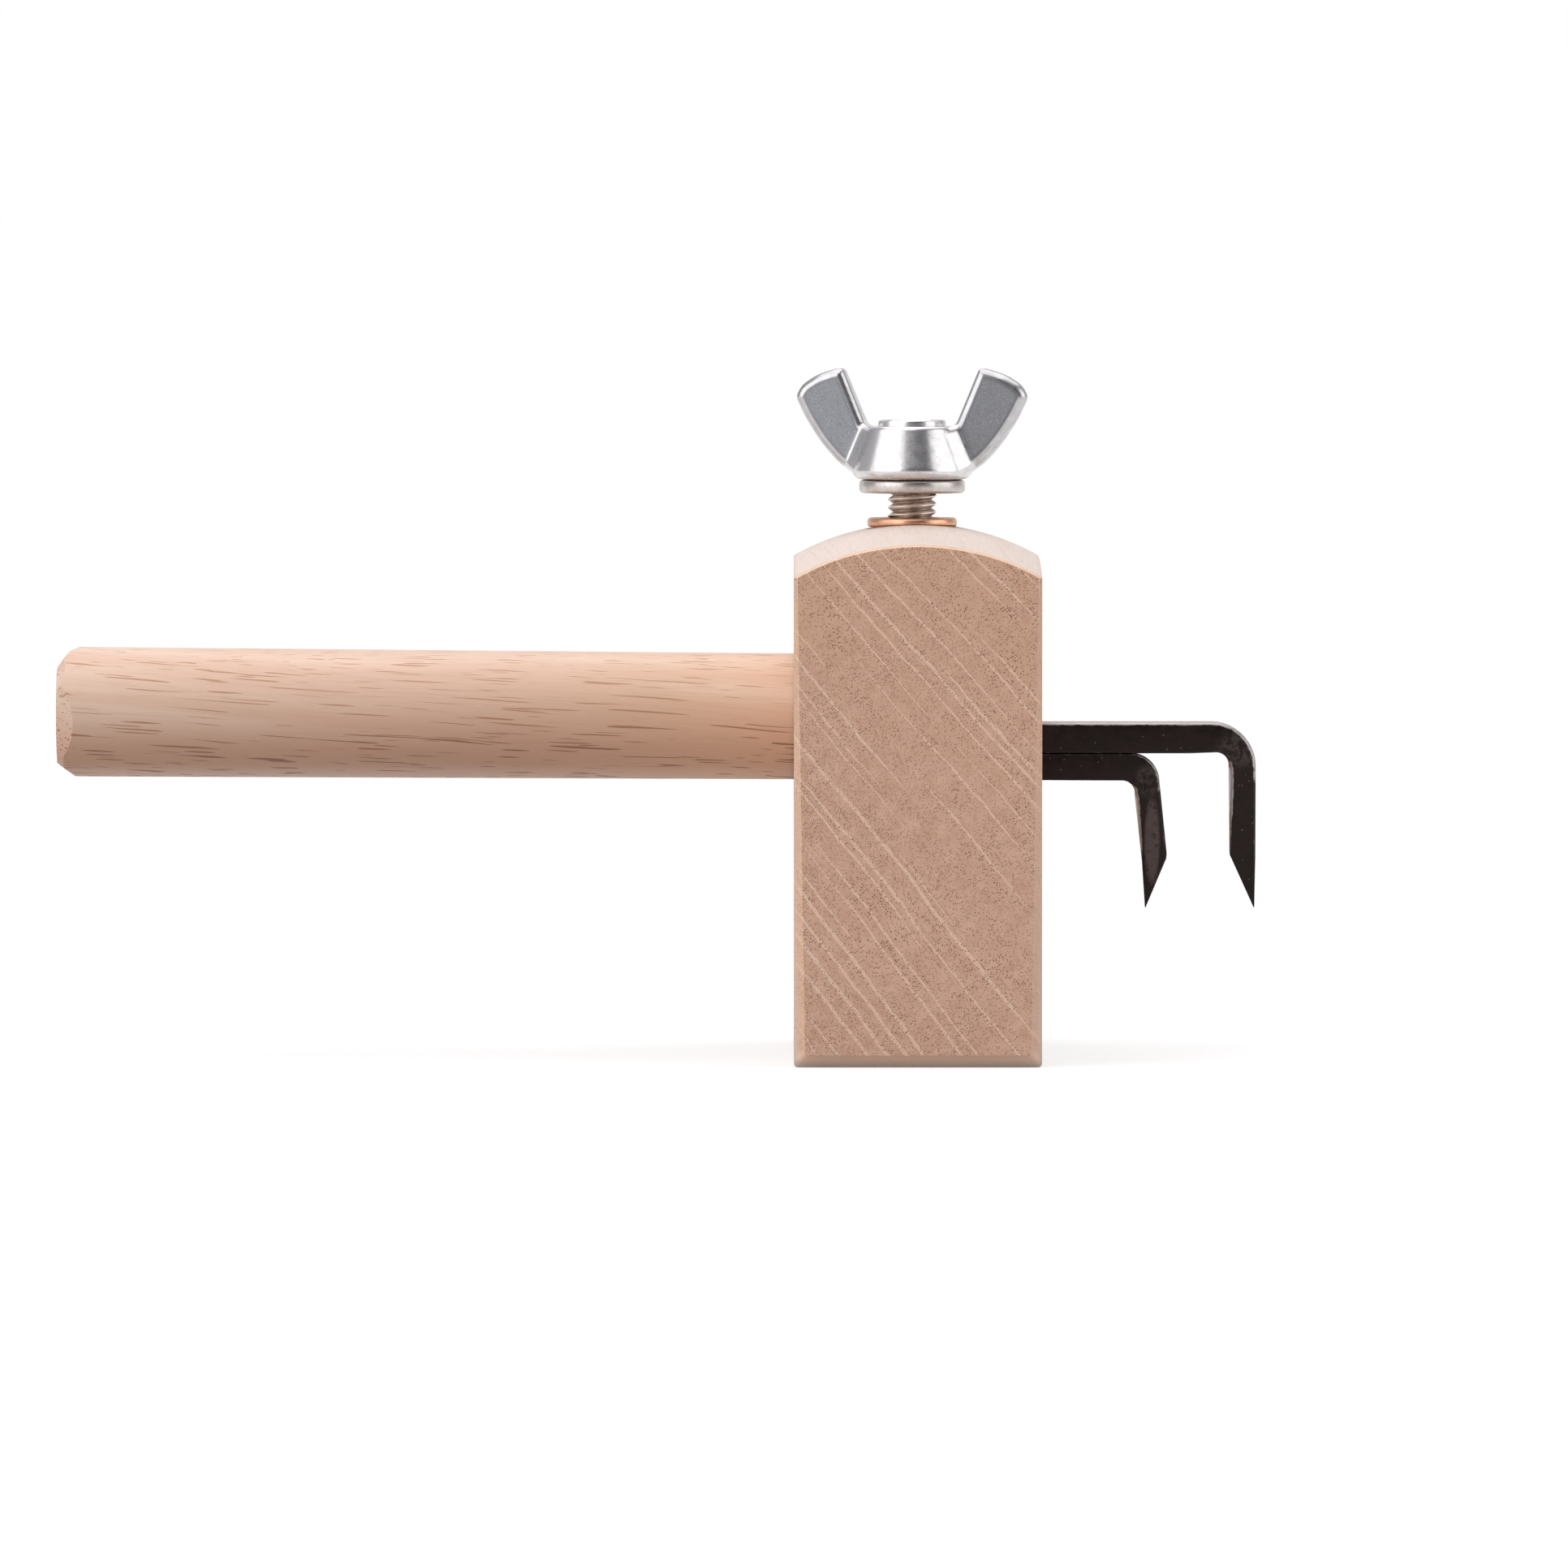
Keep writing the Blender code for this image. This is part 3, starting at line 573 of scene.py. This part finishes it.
def surface_specks_group():
    """Small round specks or pits, one in some of the cells of a given size in millimetres."""
    group, given, ends = new_group(
        "surface specks",
        [("Place", "Vector", None), ("Spacing", "Float", 0.5), ("Share", "Float", 0.2)],
        ["Speck"],
    )
    closeness = calc(group, "DIVIDE", 1.0, given["Spacing"])
    cells = add(group, "TexVoronoi", {"Vector": given["Place"], "Scale": closeness})
    chosen = calc(group, "LESS_THAN", axes_of(group, cells.outputs["Color"])[0], given["Share"])
    size = times(group, axes_of(group, cells.outputs["Color"])[1], 0.3)
    spot = grade(group, calc(group, "SUBTRACT", size, cells.outputs["Distance"]), -0.02, 0.08)
    set_outputs(group, ends, Speck=times(group, spot, chosen))
    return group


surface_specks = surface_specks_group()


def mark(tree, name):
    """What one of the piece's own marks says at this point: edge, frost or the painted rim shade."""
    return add(tree, "Attribute", attribute_name=name).outputs["Fac"]


def forged_black():
    """Scale left by the forge, nearly black, rubbed to bare steel on the edge mark, with light specks,
    most of them where the bars were bent, and a patch ground grey on the inner leg. Where the edge mark
    is highest, the worn edges are painted a pale bluish grey with less metal, a painted reflection of
    the bright room over the real worn steel."""
    steel, tree, shader = new_finish(
        "forged black steel", IOR=1.5, Specular_IOR_Level=0.25, Specular_Tint=(1.0, 0.8, 0.77, 1)
    )
    place = place_in_mm(tree)
    x, _, z = axes_of(tree, place)
    scale = cloud(tree, place, 0.7, 5.0, 0.65)
    greyer = grade(tree, scale, 0.35, 0.7)
    colour = tint(tree, greyer, (0.0045, 0.0026, 0.0023), (0.014, 0.0085, 0.0078))
    wear = use_group(tree, edge_wear, place, Edge=mark(tree, "edge"), Amount=0.7)["Wear"]
    speck = use_group(tree, surface_specks, place, Spacing=0.42, Share=0.16)["Speck"]
    torn = cloud(tree, place, 1.1, 5.0, 0.7)

    def near(centre_x, centre_z, wide, tall, torn_by):
        """1 well inside an upright oval, 0 outside it, with a torn border."""
        right = calc(tree, "MULTIPLY_ADD", x, 1 / wide, -centre_x / wide)
        up = calc(tree, "MULTIPLY_ADD", z, 1 / tall, -centre_z / tall)
        away = distance(tree, point(tree, right, 0.0, up))
        away = calc(tree, "MULTIPLY_ADD", torn, torn_by, away)
        return grade(tree, away, 1.0 + 0.62 * torn_by, 0.8 + 0.42 * torn_by)

    bent = calc(tree, "MAXIMUM", near(39.5, 37.4, 2.8, 2.4, 1.6), near(28.3, 33.6, 1.6, 2.2, 1.4))
    ground = near(28.9, 26.2, 1.0, 5.6, 0.8)
    bent_skin = times(tree, bent, grade(tree, torn, 0.42, 0.6))
    colour = tint(tree, bent_skin, colour, (0.062, 0.050, 0.049))
    ground_skin = times(tree, ground, grade(tree, torn, 0.38, 0.5, 0.25, 1.0))
    colour = tint(tree, ground_skin, colour, (0.10, 0.077, 0.075))
    # Painted reflection: the most rubbed edges turn from bare steel to a pale bluish grey that is less
    # metallic, standing in for the bright room seen in them.
    rubbed_with_painted_reflection = grade(tree, mark(tree, "edge"), 1.1, 1.5)
    bare_and_painted_reflection = tint(tree, rubbed_with_painted_reflection, (0.40, 0.37, 0.365), (0.80, 0.82, 0.90))
    colour = tint(tree, wear, colour, bare_and_painted_reflection)
    speck = times(tree, speck, calc(tree, "MULTIPLY_ADD", bent, 0.5, 0.5))
    colour = tint(tree, speck, colour, (0.19, 0.17, 0.16))
    tree.links.new(colour, shader.inputs["Base Color"])
    full = grade(tree, mark(tree, "edge"), 1.1, 1.5, 1.0, 0.35)
    tree.links.new(times(tree, wear, full), shader.inputs["Metallic"])
    tree.links.new(grade(tree, scale, 0.3, 0.7, 0.32, 0.5), shader.inputs["Roughness"])
    fine = cloud(tree, place, 4.0, 3.0)
    lumps = calc(tree, "MULTIPLY_ADD", scale, 2.5, times(tree, fine, 0.4))
    raise_surface(tree, shader, lumps, 0.03 * mm)
    return steel


black_steel = forged_black()

# The inner blade lies lower: its leg leans outwards by 1 mm and is ground on its right side.
# down is 0 along a blade's shaft and grows round the bend and down the leg to 1 at its edge.
inner_line = np.concatenate([
    line((-78, 34.2), (22.0, 33.6), 30), bend((25.2, 32.0), 1.6, 12),
    line((26.84, 31.4), (27.66, 23.9), 14), line((27.70, 23.4), (28.05, 18.0), 10),
])
outer_line = np.concatenate([
    line((-78, 36.88), (22.0, 36.88), 30), bend((26.4, 33.48), 3.4, 12),
    line((29.9, 32.6), (30.72, 24.6), 14), line((30.66, 24.0), (28.12, 18.0), 10),
])
down = np.concatenate([
    np.zeros(30), np.linspace(0, 0.12, 12), np.linspace(0.16, 0.72, 14), np.linspace(0.76, 1, 10),
])
inner_blade = forged_bar(
    "inner_blade_made", inner_line, outer_line, 2.5 - 1.4 * down,
    inner_soft=np.interp(down, [0, 0.1, 0.2, 0.75, 1], [0.25, 0.5, 0.6, 0.25, 0.05]),
    outer_soft=np.interp(down, [0, 0.1, 0.75, 1], [0.3, 0.55, 0.4, 0.05]),
    inner_rubbed=np.interp(down, [0.06, 0.16, 0.4, 0.7], [0, 1.7, 1.5, 0]),
    outer_rubbed=np.interp(down, [0, 0.03, 0.09, 0.25], [0, 0.6, 0.5, 0]),
)
fit(inner_blade, "inner_blade_body", black_steel, crease=20)

# The outer blade's leg is straight outside and ground on the side towards the block.
inner_line = np.concatenate([
    line((-72, 36.93), (33.5, 36.93), 30), bend((36.7, 35.45), 1.6, 12),
    line((38.32, 35.0), (38.42, 24.9), 16), line((38.46, 24.4), (41.36, 18.0), 10),
])
outer_line = np.concatenate([
    line((-72, 40.75), (33.5, 40.75), 30), bend((36.2, 35.35), 5.4, 12),
    line((41.6, 34.9), (41.58, 24.9), 16), line((41.58, 24.4), (41.44, 18.0), 10),
])
down = np.concatenate([
    np.zeros(30), np.linspace(0, 0.1, 12), np.linspace(0.14, 0.72, 16), np.linspace(0.75, 1, 10),
])
outer_blade = forged_bar(
    "outer_blade_made", inner_line, outer_line, 2.5 - 1.4 * down,
    inner_soft=np.interp(down, [0, 0.1, 0.2, 0.75, 1], [0.25, 0.6, 0.7, 0.2, 0.05]),
    outer_soft=np.interp(down, [0, 0.1, 0.75, 1], [0.5, 0.55, 0.35, 0.05]),
    inner_rubbed=np.interp(down, [0.06, 0.15, 0.4, 0.7], [0, 1.7, 1.5, 0]),
    outer_rubbed=np.interp(down, [0, 0.05, 0.16, 0.3], [1, 1, 0.4, 0]),
)
fit(outer_blade, "outer_blade_body", black_steel, crease=20)


# ------------------------------------------------------------------------------------------------
# Clamp parts on the screw's axis, 0.5 mm left of the block's middle: a loose steel pad under the
# screw, the copper coloured bush let into the crown, and the M6 screw in it.
# ------------------------------------------------------------------------------------------------

def eased(corners, cuts, steps=6):
    """A closed outline with each corner c rounded over the length of its cut: from a on one side
    to b on the other it follows (1 - t)^2 a + 2 t (1 - t) c + t^2 b."""
    corner, cut = np.asarray(corners, float), np.asarray(cuts, float)[:, None]
    before, after = np.roll(corner, 1, 0) - corner, np.roll(corner, -1, 0) - corner
    a = corner + cut * before / np.linalg.norm(before, axis=1, keepdims=True)
    b = corner + cut * after / np.linalg.norm(after, axis=1, keepdims=True)
    t = np.linspace(0, 1, steps)[None, :, None]
    a, c, b = (points[:, None] for points in (a, corner, b))
    return ((1 - t) ** 2 * a + 2 * t * (1 - t) * c + t**2 * b).reshape(-1, 2)


def metal(name, colour, worn, roughness, grain, pits):
    """Bare or plated metal, with a fine cloud in its colour and shine, brighter rubbed edges, and
    small pits. grain is how fine the cloud is, and pits how dark they are."""
    made, tree, shader = new_finish(name, Metallic=1.0)
    place = place_in_mm(tree)
    haze = cloud(tree, place, grain, 4.0, 0.6)
    wear = use_group(tree, edge_wear, place, Edge=mark(tree, "edge"), Amount=0.5)["Wear"]
    speck = use_group(tree, surface_specks, place, Spacing=0.5, Share=0.25)["Speck"]
    shade = tint(tree, grade(tree, haze, 0.3, 0.7), colour, tuple(0.82 * c for c in colour))
    shade = tint(tree, wear, shade, worn)
    shade = tint(tree, times(tree, speck, pits), shade, tuple(0.45 * c for c in colour))
    tree.links.new(shade, shader.inputs["Base Color"])
    tree.links.new(grade(tree, haze, 0.3, 0.7, roughness, roughness * 1.5), shader.inputs["Roughness"])
    dents = calc(tree, "SUBTRACT", times(tree, haze, 0.5), times(tree, speck, 0.5))
    raise_surface(tree, shader, dents, 0.012 * mm)
    return made


thread_steel = metal(
    "dull thread steel", (0.46, 0.385, 0.335), (0.93, 0.84, 0.77),
    roughness=0.3, grain=3.0, pits=0.5,
)
copper = metal(
    "copper coloured plate", (0.76, 0.42, 0.265), (0.88, 0.58, 0.42),
    roughness=0.27, grain=0.4, pits=0.3,
)

# The pad is seen from no side, so it keeps its own solid and gets only a finish.
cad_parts["pressure_pad"].data.materials.clear()
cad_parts["pressure_pad"].data.materials.append(thread_steel)


def ring_piece(name, corners, cuts, steps=128):
    """A ring on the screw's axis, turned to a rounded profile of (radius, z) in millimetres."""
    radius, height = eased(corners, cuts).T * mm
    return turned(name, radius, height, (axis_x, 0, 0), steps)


screw_bush = ring_piece(
    "screw_bush_made",
    [(3.3, 52.6), (4.4, 52.6), (4.4, 64.6), (5.5, 64.6), (5.5, 65.8), (3.3, 65.8)],
    [0.1, 0.3, 0.1, 0.5, 0.55, 0.15],
)
fit(screw_bush, "stock", copper, crease=40)


def screw_grid():
    """The rod's radius at height z and angle a is root + depth * v, where v is a V whose flanks
    rise from 0 to 1 and fall again once in each pitch of z / pitch - a / turn, cut flat at its crest
    and root. Both ends taper below the root. The rows lie closer where the thread is in sight."""
    pitch, root, depth = 1.0 * mm, 2.4 * mm, 0.6 * mm
    low, high = 43.85 * mm, 76.7 * mm
    seen_from, seen_to = 62 * mm, 73 * mm
    rows = [
        np.arange(low, seen_from, pitch / 9),
        np.arange(seen_from, seen_to, pitch / 18),
        np.arange(seen_to, high, pitch / 9),
    ]
    z = np.append(np.concatenate(rows), high)[:, None]
    angle = np.linspace(0, math.tau, 84, endpoint=False)
    share = (z / pitch - angle / math.tau) % 1
    flank = np.clip((1 - np.abs(2 * share - 1)) * 1.25 - 0.1, 0, 1)
    near_end = np.minimum(z - low, high - z)
    radius = np.minimum(root + depth * flank, root - 0.3 * mm + near_end)
    return np.stack([axis_x + radius * np.cos(angle), radius * np.sin(angle), z + 0 * angle], -1), flank


screw_points, crest = screw_grid()
clamp_screw = skin("clamp_screw_made", screw_points, marks={"edge": crest})
fit(clamp_screw, "wing_screw", thread_steel, crease=50)


# ------------------------------------------------------------------------------------------------
# Washer and wing head: zinc alloy, plated, the washer duller than the head. The head is cast as a
# cone with a raised lip and two wings, whose flat sides are left frosted while all the rest is
# polished.
# ------------------------------------------------------------------------------------------------

def bright_plate():
    """Plate that is polished, except where the piece's frost mark is 1: there it is matt and bluish.
    Along the line where a flat ends a thin dark line is painted shade, and the polished rim beyond it
    is painted darker, a painted dimmer reflection."""
    plate, tree, shader = new_finish("bright plate", Metallic=1.0)
    place = place_in_mm(tree)
    frost, border = mark(tree, "frost"), mark(tree, "border")
    haze = cloud(tree, place, 0.8, 4.0, 0.6)
    grit = cloud(tree, place, 9.0, 2.0, 0.7)
    speck = use_group(tree, surface_specks, place, Spacing=0.6, Share=0.14)["Speck"]
    bright = tint(tree, grade(tree, haze, 0.3, 0.7), (0.72, 0.70, 0.705), (0.62, 0.605, 0.61))
    matt = tint(tree, grade(tree, grit, 0.4, 0.72), (0.22, 0.225, 0.24), (0.36, 0.365, 0.39))
    colour = tint(tree, frost, bright, matt)
    # Painted shade: a dark line along the edge of each frosted flat, and a weaker darkening over the
    # polished rims beyond it.
    colour = tint(tree, times(tree, border, 0.7), colour, (0.14, 0.14, 0.155))
    colour = tint(tree, times(tree, speck, 0.35), colour, (0.25, 0.25, 0.26))
    tree.links.new(colour, shader.inputs["Base Color"])
    polish = grade(tree, haze, 0.3, 0.7, 0.22, 0.3)
    tree.links.new(calc(tree, "MULTIPLY_ADD", frost, 0.22, polish), shader.inputs["Roughness"])
    rough = times(tree, grit, calc(tree, "MULTIPLY_ADD", frost, 0.9, 0.12))
    raise_surface(tree, shader, calc(tree, "SUBTRACT", rough, times(tree, speck, 0.3)), 0.012 * mm)
    return plate


plate = bright_plate()
washer_plate = metal(
    "washer plate", (0.61, 0.557, 0.525), (0.9, 0.87, 0.85),
    roughness=0.22, grain=0.8, pits=0.3,
)

wing_washer = ring_piece(
    "wing_washer_made",
    [(3.3, 68.8), (6.5, 68.8), (6.5, 70.42), (3.3, 70.42)],
    [0.15, 0.6, 0.55, 0.15],
)
fit(wing_washer, "wing_screw", washer_plate, crease=40)

# The wings are drawn in millimetres, with x out from the screw's axis, and then turned by wing_yaw.
# wing_round is the radius of their rims.
wing_yaw = math.radians(-12.0)
wing_round = 1.05
wing_outline = eased(
    [(3.7, 71.2), (6.4, 70.85), (9.0, 72.4), (11.3, 74.95), (13.3, 78.0), (14.55, 80.65),
     (13.75, 82.05), (11.8, 83.3), (9.6, 84.0), (8.5, 84.12), (5.65, 77.2), (3.7, 76.4)],
    [0.1, 0.3, 1.2, 1.3, 1.3, 0.6, 0.7, 0.9, 0.5, 0.5, 0.3, 0.1],
)


def evenly(outline, count):
    """The closed outline again, as count points equally far apart along it."""
    closed = np.concatenate([outline, outline[:1]])
    run = np.concatenate([[0], np.cumsum(np.linalg.norm(np.diff(closed, axis=0), axis=1))])
    stops = np.linspace(0, run[-1], count, endpoint=False)
    return np.stack([np.interp(stops, run, closed[:, 0]), np.interp(stops, run, closed[:, 1])], -1)


wing_outline = evenly(wing_outline, 220)


def inside_by(place):
    """How far each (x, z) lies from the wing's outline: the least distance to its segments."""
    start, end = wing_outline, np.roll(wing_outline, -1, 0)
    way = end - start
    gap = place[..., None, :] - start
    share = np.clip((gap * way).sum(-1) / (way**2).sum(-1), 0, 1)
    return np.linalg.norm(gap - share[..., None] * way, axis=-1).min(-1)


def flat_start(z):
    """How far out a wing's flat begins: the fillet from the boss ends there."""
    return 5.9 + 0.43 * (77 - z)


def wing_half_thickness(x, z):
    """The wing thickens evenly inwards, and its fillet rises from it at 45 degrees: with u the way
    in from where the flat begins, it adds (u + sqrt(u^2 + 0.4^2)) / 2, up to 3.25 mm in all."""
    u = flat_start(z) - x
    return np.minimum(3.25, 1.2 + 0.075 * (14.5 - x) + (u + np.sqrt(u**2 + 0.4**2)) / 2)


def wing_points(side):
    """Rings that shrink from the outline nine tenths of the way to the wing's spine, a line from
    root to tip. A point d inside the outline stands h - r + sqrt(r^2 - (r - d)^2) from the middle
    plane, up to h, for a rim of radius r."""
    root, tip = np.array([7.3, 76.4]), np.array([11.2, 80.9])
    way = tip - root
    share = np.clip((wing_outline - root) @ way / (way @ way), 0, 1)[:, None]
    spine = root + share * way
    t = (np.linspace(0, 1, 28) ** 1.5 * 0.9)[:, None, None]
    place = wing_outline * (1 - t) + spine * t
    d = np.minimum(inside_by(place), wing_round)
    arc = np.sqrt(wing_round**2 - (wing_round - d) ** 2)
    stand = wing_half_thickness(place[..., 0], place[..., 1]) - wing_round + arc
    front = np.stack([place[..., 0] * side, -stand, place[..., 1]], -1)
    back = front * (1, -1, 1)
    return np.concatenate([front[::-1], back])


def turned_about_screw(points, angle):
    """Turns points in millimetres about the screw, and gives them in metres."""
    x, y, z = np.moveaxis(points, -1, 0)
    c, s = math.cos(angle), math.sin(angle)
    return np.stack([x * c - y * s, x * s + y * c, z], -1) * mm + np.array([axis_x, 0, 0])


# Boss and wings are joined and cast over in one fine mesh, which eases the creases between them.
# The lip is finer than that mesh, so it is a ring of its own that stands in the top of the boss.
boss = ring_piece(
    "boss",
    [(3.3, 70.48), (6.8, 70.48), (7.5, 71.35), (5.6, 77.0), (3.3, 77.0)],
    [0.1, 0.5, 0.6, 0.4, 0.1], steps=160,
)
wings = [skin("wing", turned_about_screw(wing_points(side), wing_yaw)) for side in (-1, 1)]
for wing in wings:
    union = boss.modifiers.new("wing", "BOOLEAN")
    union.operation, union.solver, union.object = "UNION", "EXACT", wing
cast = boss.modifiers.new("cast", "REMESH")
cast.mode, cast.voxel_size, cast.use_smooth_shade = "VOXEL", 0.118 * mm, True
ease = boss.modifiers.new("ease", "SMOOTH")
ease.factor, ease.iterations = 0.5, 12
bake_shape(boss)
for wing in wings:
    bpy.data.objects.remove(wing)
boss.name = "wing_head_made"
lip = ring_piece(
    "lip",
    [(3.22, 76.4), (4.2, 76.4), (4.15, 77.75), (3.4, 77.75)],
    [0.05, 0.05, 0.3, 0.25], steps=160,
)
whole = bmesh.new()
for part in (boss, lip):
    whole.from_mesh(part.data)
whole.to_mesh(boss.data)
bpy.data.objects.remove(lip)


def mark_wing_faces(head):
    """frost is 1 on the flat of a wing: further in than its rim, clear of the boss, and standing at the
    flat's own height. The painted shade mark is 1 along the line where that flat ends, and less over
    the rim beyond it, where it paints the polished rim darker."""
    count = len(head.data.vertices)
    where = np.empty(count * 3, np.float32)
    head.data.vertices.foreach_get("co", where)
    x, y, z = ((where.reshape(-1, 3) - np.array([axis_x, 0, 0])) / mm).T
    c, s = math.cos(-wing_yaw), math.sin(-wing_yaw)
    out, aside = np.abs(x * c - y * s), np.abs(x * s + y * c)
    depth = inside_by(np.stack([out, z], -1))
    on_flat = aside > wing_half_thickness(out, z) - 0.22
    clear = np.clip((out - flat_start(z) - 0.1) / 0.25, 0, 1)
    inward = depth - wing_round
    frost = np.clip(inward / 0.3 + 0.6, 0, 1) * clear * on_flat
    # Painted shade: a dark line where the flat ends, and a weaker share over the rim beyond it.
    border = np.exp(-((inward / 0.17) ** 2)) * clear * on_flat
    border = np.maximum(border, 0.42 * np.clip(-inward / 0.3, 0, 1) * clear)
    for name, values in (("frost", frost), ("border", border)):
        layer = head.data.attributes.new(name, "FLOAT", "POINT")
        layer.data.foreach_set("value", values.astype(np.float32))


mark_wing_faces(boss)
fit(boss, "wing_screw", plate, crease=85)


# ------------------------------------------------------------------------------------------------
# Studio: a pale floor with a wall far behind, a broad lamp overhead, one to each side of the
# viewer, and a long lens looking a little down. Nothing here is part of the gauge.
# ------------------------------------------------------------------------------------------------

def pale_paper():
    """Pale paper. What looks straight at it, or at its reflection, sees it lighter, so that it is
    white except in the gauge's shadow. From half a metre away nothing but that white is seen."""
    near_by, far_off = 120.0, 500.0
    paper, tree, shader = new_finish("pale paper", Roughness=0.9, Specular_IOR_Level=0.1)
    place = place_in_mm(tree)
    shader.inputs["Emission Color"].default_value = (1, 1, 1, 1)
    path = add(tree, "LightPath").outputs
    seen = calc(tree, "MAXIMUM", path["Is Camera Ray"], path["Is Glossy Ray"])
    seen = calc(tree, "MAXIMUM", seen, path["Is Transmission Ray"])
    away = distance(tree, place)
    far = times(tree, grade(tree, away, near_by, far_off), seen)
    tone = tint(tree, cloud(tree, place, 0.01, 2.0), (0.39, 0.39, 0.39), (0.41, 0.41, 0.41))
    tree.links.new(tint(tree, far, tone, (0.0, 0.0, 0.0)), shader.inputs["Base Color"])
    glow = times(tree, seen, grade(tree, away, near_by, far_off, 0.62, 1.0))
    tree.links.new(glow, shader.inputs["Emission Strength"])
    return paper


paper = pale_paper()
for name, low, high in (("floor", (-9, -9, -0.02), (9, 9, 0)), ("backdrop", (-9, 8.9, 0), (9, 9, 4))):
    sheet = plain_box(name, low, high)
    sheet.data.materials.append(paper)


def lamp(name, place, wide, tall, power):
    """A flat lamp, wide by tall in metres, that faces the gauge. Its power is in watts."""
    made = bpy.data.lights.new(name, "AREA")
    made.shape, made.size, made.size_y, made.energy = "RECTANGLE", wide, tall, power
    hung = bpy.data.objects.new(name, made)
    bpy.context.scene.collection.objects.link(hung)
    hung.location = place
    aim = np.array([0, 0, 0.05]) - np.array(place)
    hung.rotation_euler = (
        math.acos(-aim[2] / np.linalg.norm(aim)), 0, math.atan2(aim[1], aim[0]) - math.pi / 2
    )


lamp("overhead lamp", (-0.1, 0.05, 1.3), 2.6, 1.7, 19.0)
lamp("left lamp", (-1.6, -1.15, 0.8), 2.6, 1.6, 19.0)
lamp("right lamp", (1.85, -0.6, 0.75), 2.0, 1.5, 12.0)

# The room is grey, and darker on the viewer's own side, a little to the right.
room = bpy.data.worlds.new("studio")
bpy.context.scene.world = room
room.use_nodes = True
walls = room.node_tree
sides = {0: add(walls, "TexCoord").outputs["Generated"], 1: (0.26, -0.87, 0.42)}
facing = add(walls, "VectorMath", sides, operation="DOT_PRODUCT").outputs["Value"]
grey = tint(walls, grade(walls, facing, 0.7, 0.96), (0.47, 0.47, 0.485), (0.13, 0.13, 0.14))
walls.links.new(grey, walls.nodes["Background"].inputs["Color"])

lens = bpy.data.cameras.new("viewer")
lens.lens, lens.sensor_width, lens.clip_start, lens.clip_end = 475.16, 36.0, 0.05, 50.0
viewer = bpy.data.objects.new("viewer", lens)
viewer.location = (-0.0162035, -2.536126, 0.117236)
viewer.rotation_euler = (math.radians(88.1), 0, 0)
bpy.context.scene.collection.objects.link(viewer)
bpy.context.scene.camera = viewer
bpy.context.scene.view_settings.view_transform = "Standard"
